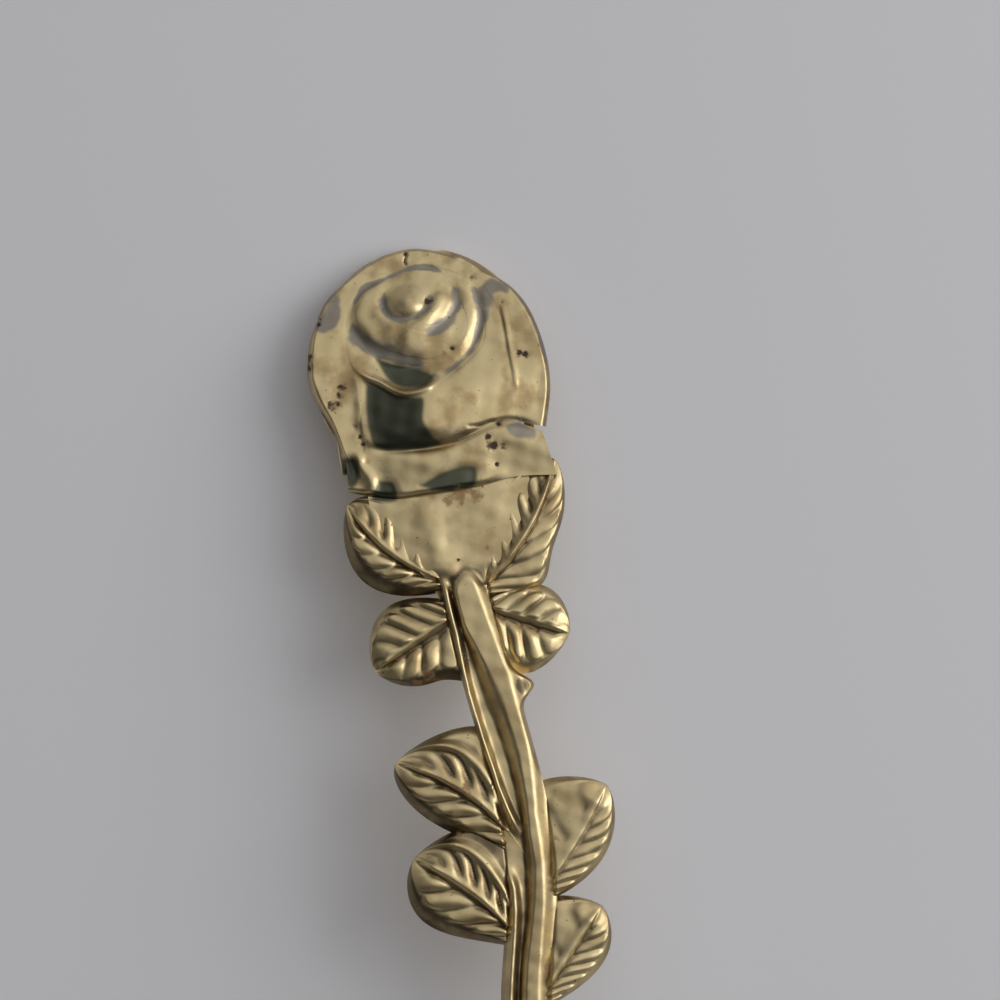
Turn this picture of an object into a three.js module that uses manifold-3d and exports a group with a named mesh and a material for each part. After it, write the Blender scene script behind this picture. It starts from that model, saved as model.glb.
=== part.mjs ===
// A coffee spoon whose handle is a rose on a leafy stem.
// Millimetres. +Z is up and +Y runs from the bowl to the rose.
// The origin is the middle of the bowl's flat foot.
import * as THREE from "three";
import { mergeVertices } from "three/addons/utils/BufferGeometryUtils.js";
import Module from "manifold-3d";

const wasm = await Module();
wasm.setup();

// Whole spoon
const HANDLE_LENGTH = 78; // from the bowl's back rim to the tip of the rose
const DROOP_LENGTH = 24; // the handle's back falls to the table over about twice this length
const SEAM_GAP = 0.15; // solder line between two pieces

// Bowl
const BOWL_LENGTH = 34;
const BOWL_WIDTH = 23;
const BOWL_DEPTH = 7;
const BOWL_WALL = 1;
const BOWL_TAPER = 0.12; // how much narrower the bowl is towards the handle
const BOWL_STEEPNESS = 2.2; // power of the inside's rise from the middle to the rim
const FOOT_RADIUS = 3.2;
const TANG_LENGTH = 8;
const TANG_WIDTH = 3.4; // at its root
const TANG_END_WIDTH = 1.6;
const TANG_THICKNESS = 1.2; // at its root
const TANG_END_THICKNESS = 0.4;

// Stem
const STEM_WIDTH = 3.3;
const STEM_HEIGHT = 2;
const STEM_NECK_WIDTH = 4.6; // at the bowl
const STEM_NECK_HEIGHT = 0.9;
const STEM_NECK_LENGTH = 16; // over which the stem widens and thins towards the bowl
const STEM_HEAD_WIDTH = 10.4; // under the collar of the rose
const STEM_HEAD_SLOPE = 1.3; // length over which the head falls away to the stem
const STEM_GROOVE_DEPTH = 0.75;
const STEM_GROOVE_SHARE = 0.4; // of the half width
const STEM_GROOVE_PLACE = -0.25; // in half widths, to the left of the stem's middle
const STEM_EDGE_SHARE = 0.35; // of the height, lost at the stem's rounded edges
const STEM_EDGE_POWER = 6; // a higher power keeps the roundness nearer to the edges
const STEM_SWAY = 1.4; // how far the stem swings off the middle line
const STEM_SWAY_LENGTH = 40;
const STEM_SWAY_START = 6; // from the rose
const STEM_SWAY_POWER = 1.5; // a higher power makes the swing set in later
const STEM_SWAY_FADE_SHARE = 0.5; // of the sway's length after which it dies away
const STEM_OVERLAP = 1; // of the stem's end over the bowl's rim
const HEEL_PLACE = 13; // small heel on the stem's right side, from the rose
const HEEL_WIDTH = 1.1;
const HEEL_LENGTH = 0.8;

// Rose
const ROSE_RADIUS = 7.7;
const ROSE_OFFSET = -0.3; // its middle stands a little off the middle line
const ROSE_BASE_THICKNESS = 0.9;
const ROSE_HEIGHT = 3.3; // of the bud in its heart, above the handle's back
const HEART_SHARE = 0.14; // radius of the bud, in rose radii
const HEART_SHOULDER_SHARE = 0.6; // of the bud's height, where its dome starts
const COLLAR_END_SHARE = -1.07; // lowest edge of the rose, in rose radii above its middle
const BASE_END_SHARE = -0.8;
const BASE_SIDE_SHARE = -0.5; // below this the base's sides run straight
const BASE_SHARE = 0.95; // the base stands inside the petals' outline
const PETAL_END_RISE = 0.18; // of a petal over its floor where it runs out, as a share of the bud's
const PETAL_END_SHARE = 0.18; // of its length over which it runs out

// Leaves
const LEAF_LENGTH = 10; // of a large leaf, and the unit of the leaves' places and outlines
const LEAF_EDGE = 0.8;
const LEAF_CROWN = 0.6; // rise of a leaf from its edge to its middle
const MIDRIB_HEIGHT = 0.28;
const MIDRIB_WIDTH = 0.22; // as a share of the half width
const RIB_HEIGHT = 0.16;
const RIB_SLANT = 0.28;
const RIB_COUNT = 7; // on each half of a leaf
const LEAF_FULLNESS = 0.6; // a lower power makes a rounder outline
const LEAF_END_WIDTH = 0.12; // least half width, at the two ends
const LEAF_TIP_SHARE = 0.15; // of a leaf's length over which it thins to its tip
const LEAF_FOOT_PLACE = 0.3; // where a lower half is widened near the stem, as a share of the leaf's length
const LEAF_FOOT_SPREAD = 0.18;

const neckY = BOWL_LENGTH / 2;
const tipY = neckY + HANDLE_LENGTH;
const rimHeight = BOWL_WALL + BOWL_DEPTH;
const roseLength = ROSE_RADIUS * (1 - COLLAR_END_SHARE);
const petalFloor = ROSE_BASE_THICKNESS + SEAM_GAP;

// Fineness of the curved surfaces
const BOWL_SEGMENTS = 48;
const BOWL_RINGS = 8;
const TANG_STEPS = 8;
const STEM_STEPS = 96;
const STEM_ACROSS_STEPS = 8;
const BASE_STEPS = 20;
const BASE_ACROSS_STEPS = 4;
const PETAL_SPAN_STEPS = 6; // between two points of a petal's edge
const PETAL_MOST_STEPS = 36;
const PETAL_ACROSS_STEPS = 6;
const HEART_SEGMENTS = 16;
const HEART_RINGS = 4; // from the dome's foot to its top
const LEAF_STEPS = 28;
const LEAF_ACROSS_STEPS = 8;
const CUTTER_ACROSS_STEPS = 2;
const WELD = 1e-4; // points nearer than this are one point

const smooth = THREE.MathUtils.smoothstep;
const mix = THREE.MathUtils.lerp;
const bell = (x) => Math.exp(-x * x);

// Height of the handle's back above the table: nothing at the tip, the bowl's rim at the neck.
const droop = (fromTip) => 1 - Math.exp(-fromTip / DROOP_LENGTH);
const lift = (fromTip) => ((rimHeight + SEAM_GAP) * droop(fromTip)) / droop(HANDLE_LENGTH);

// A point of the handle, from its place in plan and its height above the handle's back.
const handlePoint = ([x, fromTip], height) => [x, tipY - fromTip, lift(fromTip) + height];

function geometryOf(positions, index) {
  const geometry = new THREE.BufferGeometry();
  geometry.setAttribute("position", new THREE.Float32BufferAttribute(positions, 3));
  geometry.setIndex(index);
  return geometry;
}

function volumeOf(positions, index) {
  const corner = (i) => new THREE.Vector3().fromArray(positions, 3 * i);
  let sum = 0;
  for (let i = 0; i < index.length; i += 3) {
    const [a, b, c] = index.slice(i, i + 3).map(corner);
    sum += a.dot(b.cross(c));
  }
  return sum;
}

// A closed solid on the handle. s runs from 0 to 1 along it, t from -1 to 1 across it.
function reliefSolid({ plan, height, floor, alongSteps, acrossSteps }) {
  const positions = [];
  const index = [];
  const columns = acrossSteps + 1;
  const along = (i) => i / alongSteps;
  const across = (j) => (2 * j) / acrossSteps - 1;
  for (let i = 0; i <= alongSteps; i++)
    for (let j = 0; j <= acrossSteps; j++) {
      const [s, t] = [along(i), across(j)];
      positions.push(...handlePoint(plan(s, t), height(s, t)));
    }
  const floorStart = positions.length / 3;
  for (let i = 0; i <= alongSteps; i++)
    for (const t of [-1, 1]) positions.push(...handlePoint(plan(along(i), t), floor(along(i))));

  const top = (i, j) => i * columns + j;
  const left = (i) => floorStart + 2 * i;
  const right = (i) => left(i) + 1;
  for (let i = 0; i < alongSteps; i++) {
    for (let j = 0; j < acrossSteps; j++) {
      index.push(top(i, j), top(i, j + 1), top(i + 1, j));
      index.push(top(i, j + 1), top(i + 1, j + 1), top(i + 1, j));
    }
    index.push(left(i), left(i + 1), right(i), right(i), left(i + 1), right(i + 1));
    index.push(left(i), top(i, 0), left(i + 1), top(i, 0), top(i + 1, 0), left(i + 1));
    const last = acrossSteps;
    index.push(right(i), right(i + 1), top(i, last), top(i, last), right(i + 1), top(i + 1, last));
  }
  const end = alongSteps;
  for (let j = 0; j < acrossSteps; j++) {
    index.push(left(0), top(0, j + 1), top(0, j));
    index.push(left(end), top(end, j), top(end, j + 1));
  }
  index.push(left(0), right(0), top(0, acrossSteps));
  index.push(left(end), top(end, acrossSteps), right(end));
  if (volumeOf(positions, index) < 0) index.reverse();
  return geometryOf(positions, index);
}

// A closed solid through rings of equal count, from the first ring's middle to the last ring's middle.
function ringSolid(rings) {
  const count = rings[0].length;
  const positions = rings.flat(2);
  const index = [];
  const middle = (ring) => {
    const sum = ring.reduce((total, p) => total.map((v, k) => v + p[k]), [0, 0, 0]);
    positions.push(...sum.map((v) => v / count));
    return positions.length / 3 - 1;
  };
  const first = middle(rings[0]);
  const last = middle(rings.at(-1));
  const at = (r, k) => r * count + (k % count);
  for (let k = 0; k < count; k++) {
    index.push(first, at(0, k), at(0, k + 1));
    index.push(last, at(rings.length - 1, k + 1), at(rings.length - 1, k));
    for (let r = 0; r + 1 < rings.length; r++) {
      index.push(at(r, k), at(r + 1, k), at(r, k + 1));
      index.push(at(r, k + 1), at(r + 1, k), at(r + 1, k + 1));
    }
  }
  if (volumeOf(positions, index) < 0) index.reverse();
  return geometryOf(positions, index);
}

function solidOf(geometry) {
  const bare = new THREE.BufferGeometry();
  bare.setAttribute("position", geometry.getAttribute("position"));
  bare.setIndex(geometry.index);
  const welded = mergeVertices(bare, WELD);
  const vertProperties = welded.getAttribute("position").array;
  const triVerts = new Uint32Array(welded.index.array);
  return new wasm.Manifold(new wasm.Mesh({ numProp: 3, vertProperties, triVerts }));
}

function geometryFrom(solid) {
  const mesh = solid.getMesh();
  return geometryOf(mesh.vertProperties, [...mesh.triVerts]);
}

// Bowl: an egg-shaped shell with a flat foot and a tang at its back that carries the stem.
// A ring is the bowl's outline shrunk by an inset and by a share of its size.
function bowlRing(inset, share, z) {
  const ring = [];
  for (let k = 0; k < BOWL_SEGMENTS; k++) {
    const angle = (2 * Math.PI * k) / BOWL_SEGMENTS;
    const narrowing = 1 - BOWL_TAPER * Math.cos(angle);
    const x = (BOWL_WIDTH / 2 - inset) * Math.sin(angle) * narrowing;
    const y = (BOWL_LENGTH / 2 - inset) * Math.cos(angle);
    ring.push([x * share, y * share, z]);
  }
  return ring;
}

function bowlShell() {
  const footShare = (2 * FOOT_RADIUS) / BOWL_WIDTH;
  const footRise = footShare ** BOWL_STEEPNESS;
  const rings = [];
  for (let r = 1; r <= BOWL_RINGS; r++) {
    const share = r / BOWL_RINGS;
    rings.push(bowlRing(BOWL_WALL, share, BOWL_WALL + BOWL_DEPTH * share ** BOWL_STEEPNESS));
  }
  for (let r = BOWL_RINGS; r >= 0; r--) {
    const share = mix(footShare, 1, r / BOWL_RINGS);
    const rise = (share ** BOWL_STEEPNESS - footRise) / (1 - footRise);
    rings.push(bowlRing(0, share, rimHeight * rise));
  }
  return ringSolid(rings);
}

function bowlTang() {
  const root = HANDLE_LENGTH + BOWL_WALL / 2;
  return reliefSolid({
    plan: (s, t) => [(t * mix(TANG_WIDTH, TANG_END_WIDTH, s * s)) / 2, root - s * TANG_LENGTH],
    height: () => -SEAM_GAP,
    floor: (s) => -SEAM_GAP - mix(TANG_THICKNESS, TANG_END_THICKNESS, s),
    alongSteps: TANG_STEPS,
    acrossSteps: 1,
  });
}

const bowl = () => geometryFrom(solidOf(bowlShell()).add(solidOf(bowlTang())));

// Stem: a swaying bar with two rounded ridges and a groove between them.
const stemStart = ROSE_RADIUS * (1 - BASE_END_SHARE) + SEAM_GAP;
const stemEnd = HANDLE_LENGTH + STEM_OVERLAP;
const neckShare = (fromTip) => smooth(fromTip, HANDLE_LENGTH - STEM_NECK_LENGTH, HANDLE_LENGTH);
const headShare = (fromTip) => Math.exp(-Math.max(0, fromTip - roseLength) / STEM_HEAD_SLOPE);

function stemMiddle(fromTip) {
  const start = roseLength + STEM_SWAY_START;
  const share = THREE.MathUtils.clamp((fromTip - start) / STEM_SWAY_LENGTH, 0, 1);
  const fade = 1 - smooth(share, STEM_SWAY_FADE_SHARE, 1);
  return STEM_SWAY * Math.sin(2 * Math.PI * share ** STEM_SWAY_POWER) * fade;
}

function stemHalfWidth(fromTip, t) {
  const bar = mix(STEM_WIDTH, STEM_NECK_WIDTH, neckShare(fromTip));
  const heel = t > 0 ? HEEL_WIDTH * bell((fromTip - roseLength - HEEL_PLACE) / HEEL_LENGTH) : 0;
  return mix(bar, STEM_HEAD_WIDTH, headShare(fromTip)) / 2 + heel;
}

function stemHeight(fromTip, t) {
  const neck = neckShare(fromTip);
  const bar = mix(STEM_HEIGHT, STEM_NECK_HEIGHT, neck);
  const roundness = STEM_EDGE_SHARE * bar * t ** STEM_EDGE_POWER;
  const across = (t - STEM_GROOVE_PLACE) / STEM_GROOVE_SHARE;
  const groove = STEM_GROOVE_DEPTH * bell(across) * (1 - neck);
  return mix(bar - roundness - groove, ROSE_BASE_THICKNESS, headShare(fromTip - STEM_HEAD_SLOPE));
}

// The strip of plan that the stem covers, grown sideways.
const stemPlan = (grow) => (s, t) => {
  const fromTip = mix(stemStart, stemEnd, s);
  return [stemMiddle(fromTip) + t * (stemHalfWidth(fromTip, t) + grow), fromTip];
};

const stem = () =>
  reliefSolid({
    plan: stemPlan(0),
    height: (s, t) => stemHeight(mix(stemStart, stemEnd, s), t),
    floor: () => 0,
    alongSteps: STEM_STEPS,
    acrossSteps: STEM_ACROSS_STEPS,
  });

// A tall block over a plan, for cutting a neighbour back by the seam.
function cutter(plan, alongSteps) {
  const height = () => rimHeight;
  const floor = () => -rimHeight;
  return solidOf(reliefSolid({ plan, height, floor, alongSteps, acrossSteps: CUTTER_ACROSS_STEPS }));
}

// Rose: places are in rose radii from the rose's middle, right and towards the tip.
const roseUnits = (u, v) => [ROSE_OFFSET + u * ROSE_RADIUS, (1 - v) * ROSE_RADIUS];

function edge(points) {
  const curve = new THREE.SplineCurve(points.map((p) => new THREE.Vector2(...p)));
  return (s) => curve.getPoint(s);
}

function roseBase() {
  return reliefSolid({
    plan: (s, t) => {
      const v = mix(BASE_SHARE, BASE_END_SHARE, s);
      const halfWidth = BASE_SHARE * Math.sqrt(1 - Math.max(v, BASE_SIDE_SHARE) ** 2);
      return roseUnits(t * halfWidth, v);
    },
    height: () => ROSE_BASE_THICKNESS,
    floor: () => 0,
    alongSteps: BASE_STEPS,
    acrossSteps: BASE_ACROSS_STEPS,
  });
}

// Petals lie between two edges that run the same way. Rises are at the first edge, the middle and the
// second edge, from 0 on the rose's base to 1 at the bud's top.
const petalHeight = (rise) => mix(petalFloor, ROSE_HEIGHT, rise);
const PETALS = [
  {
    name: "rose_back_petal",
    from: [[-0.56, 0.62], [-0.3, 0.77], [0, 0.83], [0.25, 0.8], [0.42, 0.72], [0.55, 0.62]],
    to: [[-0.68, 0.72], [-0.29, 0.95], [0.03, 1], [0.28, 0.93], [0.48, 0.81], [0.64, 0.71]],
    rises: [0.29, 0.38, 0.16],
  },
  {
    name: "rose_left_petal",
    from: [[-0.6, 0.58], [-0.62, 0.38], [-0.63, 0.14], [-0.57, -0.02], [-0.58, -0.3], [-0.59, -0.58]],
    to: [[-0.72, 0.66], [-0.9, 0.4], [-0.98, 0.1], [-0.96, -0.12], [-0.86, -0.38], [-0.81, -0.62]],
    rises: [0.47, 0.51, 0.16],
  },
  {
    name: "rose_right_petal",
    from: [[0.61, 0.58], [0.69, 0.4], [0.73, 0.18], [0.76, -0.06], [0.755, -0.28], [0.68, -0.5]],
    to: [[0.7, 0.66], [0.84, 0.52], [0.96, 0.28], [1.02, -0.05], [1.01, -0.35], [0.93, -0.63]],
    rises: [0.47, 0.38, 0.16],
  },
  {
    name: "rose_front_petal",
    from: [
      [-0.53, -0.04], [-0.24, -0.245], [0.04, -0.205], [0.3, -0.06],
      [0.49, 0.07], [0.565, 0.24], [0.55, 0.45],
    ],
    to: [
      [-0.53, -0.58], [-0.22, -0.635], [0.1, -0.64], [0.42, -0.575],
      [0.66, -0.42], [0.7, -0.05], [0.64, 0.42],
    ],
    rises: [0.6, 0.64, 0.24],
  },
  {
    name: "rose_collar_petal",
    from: [[-0.7, -0.64], [-0.3, -0.7], [0, -0.72], [0.3, -0.675], [0.6, -0.61], [0.84, -0.69]],
    to: [[-0.78, -0.95], [-0.45, -1.06], [-0.1, -1.07], [0.27, -1.07], [0.6, -1.02], [0.94, -1]],
    rises: [0.38, 0.56, 0.16],
  },
  {
    name: "rose_wrap_petal",
    from: [
      [-0.5, 0.36], [-0.44, 0.2], [-0.28, 0.09], [-0.16, 0.04], [0.03, 0],
      [0.18, 0.03], [0.32, 0.14], [0.4, 0.28], [0.39, 0.44], [0.33, 0.54],
    ],
    to: [
      [-0.58, 0.36], [-0.57, 0.09], [-0.36, -0.09], [-0.22, -0.19], [0.03, -0.16],
      [0.28, -0.02], [0.45, 0.1], [0.51, 0.26], [0.48, 0.45], [0.4, 0.58],
    ],
    rises: [0.38, 0.47, 0.78],
  },
  {
    name: "rose_inner_left_petal",
    from: [
      [-0.12, 0.73], [-0.22, 0.68], [-0.26, 0.6], [-0.25, 0.5], [-0.18, 0.42],
      [-0.06, 0.33], [0.06, 0.28], [0.17, 0.28], [0.27, 0.34],
    ],
    to: [
      [-0.14, 0.77], [-0.34, 0.68], [-0.46, 0.52], [-0.44, 0.34], [-0.3, 0.21],
      [-0.12, 0.11], [0.08, 0.07], [0.24, 0.14], [0.33, 0.27],
    ],
    rises: [0.64, 0.87, 0.56],
  },
  {
    name: "rose_inner_right_petal",
    from: [[0.02, 0.745], [0.08, 0.7], [0.13, 0.62], [0.13, 0.54], [0.07, 0.46], [-0.03, 0.41]],
    to: [[0.04, 0.78], [0.2, 0.75], [0.31, 0.63], [0.32, 0.48], [0.2, 0.37], [0.02, 0.36]],
    rises: [0.69, 0.91, 0.64],
  },
];

const petalPlan = ({ from, to }) => {
  const [first, second] = [edge(from), edge(to)];
  return (s, t) => {
    const { x, y } = first(s).lerp(second(s), (t + 1) / 2);
    return roseUnits(x, y);
  };
};

function petal({ from, to, rises: [first, crest, second] }) {
  const body = (t) => crest * (1 - t * t) + (t * (t - 1) * first) / 2 + (t * (t + 1) * second) / 2;
  const full = (s) => smooth(s, 0, PETAL_END_SHARE) * smooth(1 - s, 0, PETAL_END_SHARE);
  return reliefSolid({
    plan: petalPlan({ from, to }),
    height: (s, t) => petalHeight(mix(PETAL_END_RISE, body(t), full(s))),
    floor: () => petalFloor,
    alongSteps: Math.min(PETAL_SPAN_STEPS * (from.length - 1), PETAL_MOST_STEPS),
    acrossSteps: PETAL_ACROSS_STEPS,
  });
}

// Heart: the closed bud in the middle, a dome on the rose's base.
const HEART_PLACE = [-0.05, 0.585];

function roseHeart() {
  const ring = (share, height) => {
    const points = [];
    for (let k = 0; k < HEART_SEGMENTS; k++) {
      const angle = (2 * Math.PI * k) / HEART_SEGMENTS;
      const u = HEART_PLACE[0] + HEART_SHARE * share * Math.cos(angle);
      const v = HEART_PLACE[1] + HEART_SHARE * share * Math.sin(angle);
      points.push(handlePoint(roseUnits(u, v), height));
    }
    return points;
  };
  const shoulder = petalHeight(HEART_SHOULDER_SHARE);
  const rings = [ring(1, petalFloor), ring(1, shoulder)];
  for (let r = 1; r < HEART_RINGS; r++) {
    const angle = ((Math.PI / 2) * r) / HEART_RINGS;
    rings.push(ring(Math.cos(angle), mix(shoulder, ROSE_HEIGHT, Math.sin(angle))));
  }
  return ringSolid(rings);
}

// Leaves, in leaf lengths: at is where the midrib leaves the stem, from the rose; reach and rise lead
// from there to the leaf's tip; bend is how far the midrib bows towards the rose; upper and lower are the
// half widths, and foot widens the lower one near the stem. A higher power in widest moves the widest
// place towards the tip.
const LEAVES = [
  {
    name: "leaf_1_left",
    side: -1,
    midrib: { at: 0.61, reach: 0.66, rise: 0.62, bend: -0.1 },
    outline: { upper: 0.31, lower: 0.25, widest: 1.3, foot: 0 },
  },
  {
    name: "leaf_1_right",
    side: 1,
    midrib: { at: 0.7, reach: 0.7, rise: 0.79, bend: -0.1 },
    outline: { upper: 0.31, lower: 0.17, widest: 1.35, foot: 0.14 },
  },
  {
    name: "leaf_2_left",
    side: -1,
    midrib: { at: 0.75, reach: 0.66, rise: -0.31, bend: 0 },
    outline: { upper: 0.29, lower: 0.27, widest: 1.3, foot: 0.19 },
  },
  {
    name: "leaf_2_right",
    side: 1,
    midrib: { at: 0.72, reach: 0.61, rise: -0.3, bend: 0 },
    outline: { upper: 0.24, lower: 0.34, widest: 1.5, foot: 0 },
  },
  {
    name: "leaf_3_left",
    side: -1,
    midrib: { at: 2.42, reach: 0.74, rise: 0.76, bend: 0.11 },
    outline: { upper: 0.44, lower: 0.27, widest: 1.4, foot: 0 },
  },
  {
    name: "leaf_3_right",
    side: 1,
    midrib: { at: 2.68, reach: 0.59, rise: 0.67, bend: -0.03 },
    outline: { upper: 0.46, lower: 0.2, widest: 1.2, foot: 0 },
  },
  {
    name: "leaf_4_left",
    side: -1,
    midrib: { at: 2.96, reach: 0.63, rise: 0.68, bend: 0.06 },
    outline: { upper: 0.43, lower: 0.33, widest: 1.6, foot: 0 },
  },
  {
    name: "leaf_4_right",
    side: 1,
    midrib: { at: 3.39, reach: 0.58, rise: 0.63, bend: 0 },
    outline: { upper: 0.38, lower: 0.21, widest: 1.6, foot: 0 },
  },
];

const bow = (s) => 4 * s * (1 - s); // 1 midway, 0 at both ends

const leafPlan = ({ side, midrib, outline }, grow) => {
  const { at, reach, rise, bend } = midrib;
  const { upper, lower, widest, foot } = outline;
  const root = roseLength + at * LEAF_LENGTH;
  const length = Math.hypot(reach, rise);
  const [outward, forward] = [reach / length, rise / length];
  return (s, t) => {
    const round = Math.max(0, Math.sin(Math.PI * s ** widest)) ** LEAF_FULLNESS;
    const widened = foot * bell((s - LEAF_FOOT_PLACE) / LEAF_FOOT_SPREAD);
    const half = t > 0 ? upper * round : lower * round + widened;
    const halfWidth = Math.max(LEAF_END_WIDTH, half * LEAF_LENGTH) + grow;
    const along = s * length * LEAF_LENGTH;
    const off = bend * LEAF_LENGTH * bow(s) + t * halfWidth;
    const sideways = outward * along - forward * off;
    const towardsTip = forward * along + outward * off;
    return [stemMiddle(root) + side * sideways, root - towardsTip];
  };
};

const leafHeight = (s, t) => {
  const full = 1 - smooth(s, 1 - LEAF_TIP_SHARE, 1);
  const crown = LEAF_CROWN * (1 - t * t) * full;
  const midrib = MIDRIB_HEIGHT * bell(t / MIDRIB_WIDTH) * full;
  const swell = Math.sin(Math.PI * Math.abs(t)) * Math.sin(Math.PI * s);
  const rib = RIB_HEIGHT * swell * Math.cos(2 * Math.PI * RIB_COUNT * (s - RIB_SLANT * Math.abs(t)));
  return LEAF_EDGE + crown + midrib + rib;
};

const leaf = (shape) =>
  solidOf(
    reliefSolid({
      plan: leafPlan(shape, 0),
      height: leafHeight,
      floor: () => 0,
      alongSteps: LEAF_STEPS,
      acrossSteps: LEAF_ACROSS_STEPS,
    }),
  );

function largest(solid) {
  const bySize = solid.decompose().sort((one, other) => other.volume() - one.volume());
  return bySize[0];
}

// Every leaf is cut back from the stem, from the collar and from the leaves above it on its side,
// and keeps its largest part.
function leaves() {
  const collar = PETALS.find(({ name }) => name === "rose_collar_petal");
  const stemBlock = cutter(stemPlan(SEAM_GAP), STEM_STEPS);
  const collarBlock = cutter(petalPlan(collar), PETAL_MOST_STEPS);
  return LEAVES.map((shape, place) => {
    let solid = leaf(shape).subtract(stemBlock).subtract(collarBlock);
    for (const above of LEAVES.slice(0, place).filter(({ side }) => side === shape.side))
      solid = solid.subtract(cutter(leafPlan(above, SEAM_GAP), LEAF_STEPS));
    return [shape.name, geometryFrom(largest(solid))];
  });
}

// Worn gilding: paler on the ornament, a little greyer on the bowl and stem.
const GILT = {
  bowl: { color: 0xb3a47a, roughness: 0.28 },
  stem: { color: 0xb5a470, roughness: 0.32 },
  base: { color: 0x9c8c60, roughness: 0.42 },
  petal: { color: 0xbfae78, roughness: 0.3 },
  leaf: { color: 0xb9a872, roughness: 0.34 },
};
const gilt = (look) => new THREE.MeshStandardMaterial({ ...look, metalness: 1 });

function spoon() {
  const group = new THREE.Group();
  const put = (name, geometry, material) => {
    geometry.computeVertexNormals();
    const mesh = new THREE.Mesh(geometry, material);
    mesh.name = name;
    group.add(mesh);
  };
  put("bowl", bowl(), gilt(GILT.bowl));
  put("stem", stem(), gilt(GILT.stem));
  put("rose_base", roseBase(), gilt(GILT.base));
  for (const shape of PETALS) put(shape.name, petal(shape), gilt(GILT.petal));
  put("rose_heart", roseHeart(), gilt(GILT.petal));
  for (const [name, geometry] of leaves()) put(name, geometry, gilt(GILT.leaf));
  return group;
}

export default spoon();
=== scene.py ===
import math
from typing import NamedTuple

import bmesh
import bpy
import numpy as np
from mathutils import Matrix, Vector


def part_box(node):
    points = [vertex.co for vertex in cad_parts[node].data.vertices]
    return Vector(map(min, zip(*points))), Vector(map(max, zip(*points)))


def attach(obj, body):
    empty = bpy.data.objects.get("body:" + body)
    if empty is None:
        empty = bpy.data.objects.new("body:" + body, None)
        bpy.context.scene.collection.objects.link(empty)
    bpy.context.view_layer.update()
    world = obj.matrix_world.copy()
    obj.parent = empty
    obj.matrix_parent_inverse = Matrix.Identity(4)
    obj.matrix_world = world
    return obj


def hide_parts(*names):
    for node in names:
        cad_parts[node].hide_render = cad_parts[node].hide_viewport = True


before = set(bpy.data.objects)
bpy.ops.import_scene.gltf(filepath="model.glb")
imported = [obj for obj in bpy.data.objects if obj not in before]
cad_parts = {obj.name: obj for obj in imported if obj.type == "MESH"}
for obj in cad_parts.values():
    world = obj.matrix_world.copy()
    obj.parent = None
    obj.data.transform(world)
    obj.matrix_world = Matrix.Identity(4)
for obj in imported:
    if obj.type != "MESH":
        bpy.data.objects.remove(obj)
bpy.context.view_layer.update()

MM = 0.001


def node_box(name):
    low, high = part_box(name)
    return np.array(low) / MM, np.array(high) / MM


# Main sizes, from the frame
bowl_low, bowl_high = node_box("bowl")
base_low, base_high = node_box("rose_base")
stem_low, stem_high = node_box("stem")
BASE_SHARE = 0.95  # of the rose's radius that its base covers
TIP_Y = node_box("rose_back_petal")[1][1]
BOWL_LENGTH = -2 * bowl_low[1]
RIM_HEIGHT = bowl_high[2]
HANDLE_LENGTH = TIP_Y - BOWL_LENGTH / 2
ROSE_RADIUS = (base_high[0] - base_low[0]) / 2 / BASE_SHARE
ROSE_OFFSET = (base_high[0] + base_low[0]) / 2
STEM_START = TIP_Y - stem_high[1]
STEM_END = TIP_Y - stem_low[1]
STEM_HEAD_WIDTH = stem_high[0] - stem_low[0]

# Shape of the handle, as in the solids
DROOP_LENGTH = 24
SEAM_GAP = 0.15
COLLAR_END = -1.07
ROSE_LENGTH = ROSE_RADIUS * (1 - COLLAR_END)


def mix(a, b, share):
    return a + (b - a) * share


def smooth(x, low, high):
    share = np.clip((x - low) / (high - low), 0, 1)
    return share * share * (3 - 2 * share)


def bell(x):
    return np.exp(-x * x)


def droop(d):
    return 1 - np.exp(-d / DROOP_LENGTH)


def lift(d):
    """Height of the handle's back above the table."""
    return (RIM_HEIGHT + SEAM_GAP) * droop(d) / droop(HANDLE_LENGTH)


def handle_points(x, d, height):
    return np.stack(np.broadcast_arrays(x, TIP_Y - d, lift(d) + height), -1) * MM


def along(points, share):
    """Places on a smooth curve through the points, at shares of it."""
    knots = np.asarray(points, float)
    last = len(knots) - 1
    place = np.asarray(share, float) * last
    first = np.minimum(place.astype(int), last - 1)
    w = (place - first)[..., None]
    p0, p1, p2, p3 = (knots[np.clip(first + k, 0, last)] for k in (-1, 0, 1, 2))
    leave, arrive = (p2 - p0) / 2, (p3 - p1) / 2
    cubic = 2 * p1 - 2 * p2 + leave + arrive
    square = -3 * p1 + 3 * p2 - 2 * leave - arrive
    return cubic * w**3 + square * w**2 + leave * w + p1


CURVE_STEPS = 48


def nearest(points, x, y):
    """Distance from each place to a smooth curve, and the share of the curve that is nearest to it."""
    line = along(points, np.linspace(0, 1, CURVE_STEPS + 1))
    start, step = line[:-1], np.diff(line, axis=0)
    from_start = np.stack(np.broadcast_arrays(x, y), -1)[..., None, :] - start
    share = np.clip((from_start * step).sum(-1) / (step**2).sum(-1), 0, 1)
    gap = np.linalg.norm(from_start - share[..., None] * step, axis=-1)
    best = gap.argmin(-1)[..., None]
    place = best + np.take_along_axis(share, best, -1)
    return np.take_along_axis(gap, best, -1)[..., 0], place[..., 0] / CURVE_STEPS


def ridge(x, y, points, width, fade=0.2):
    """1 along a curve, falling to 0 beside it and at its two ends."""
    distance, share = nearest(points, x, y)
    return bell(distance / width) * smooth(share, 0, fade) * smooth(1 - share, 0, fade)


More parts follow.
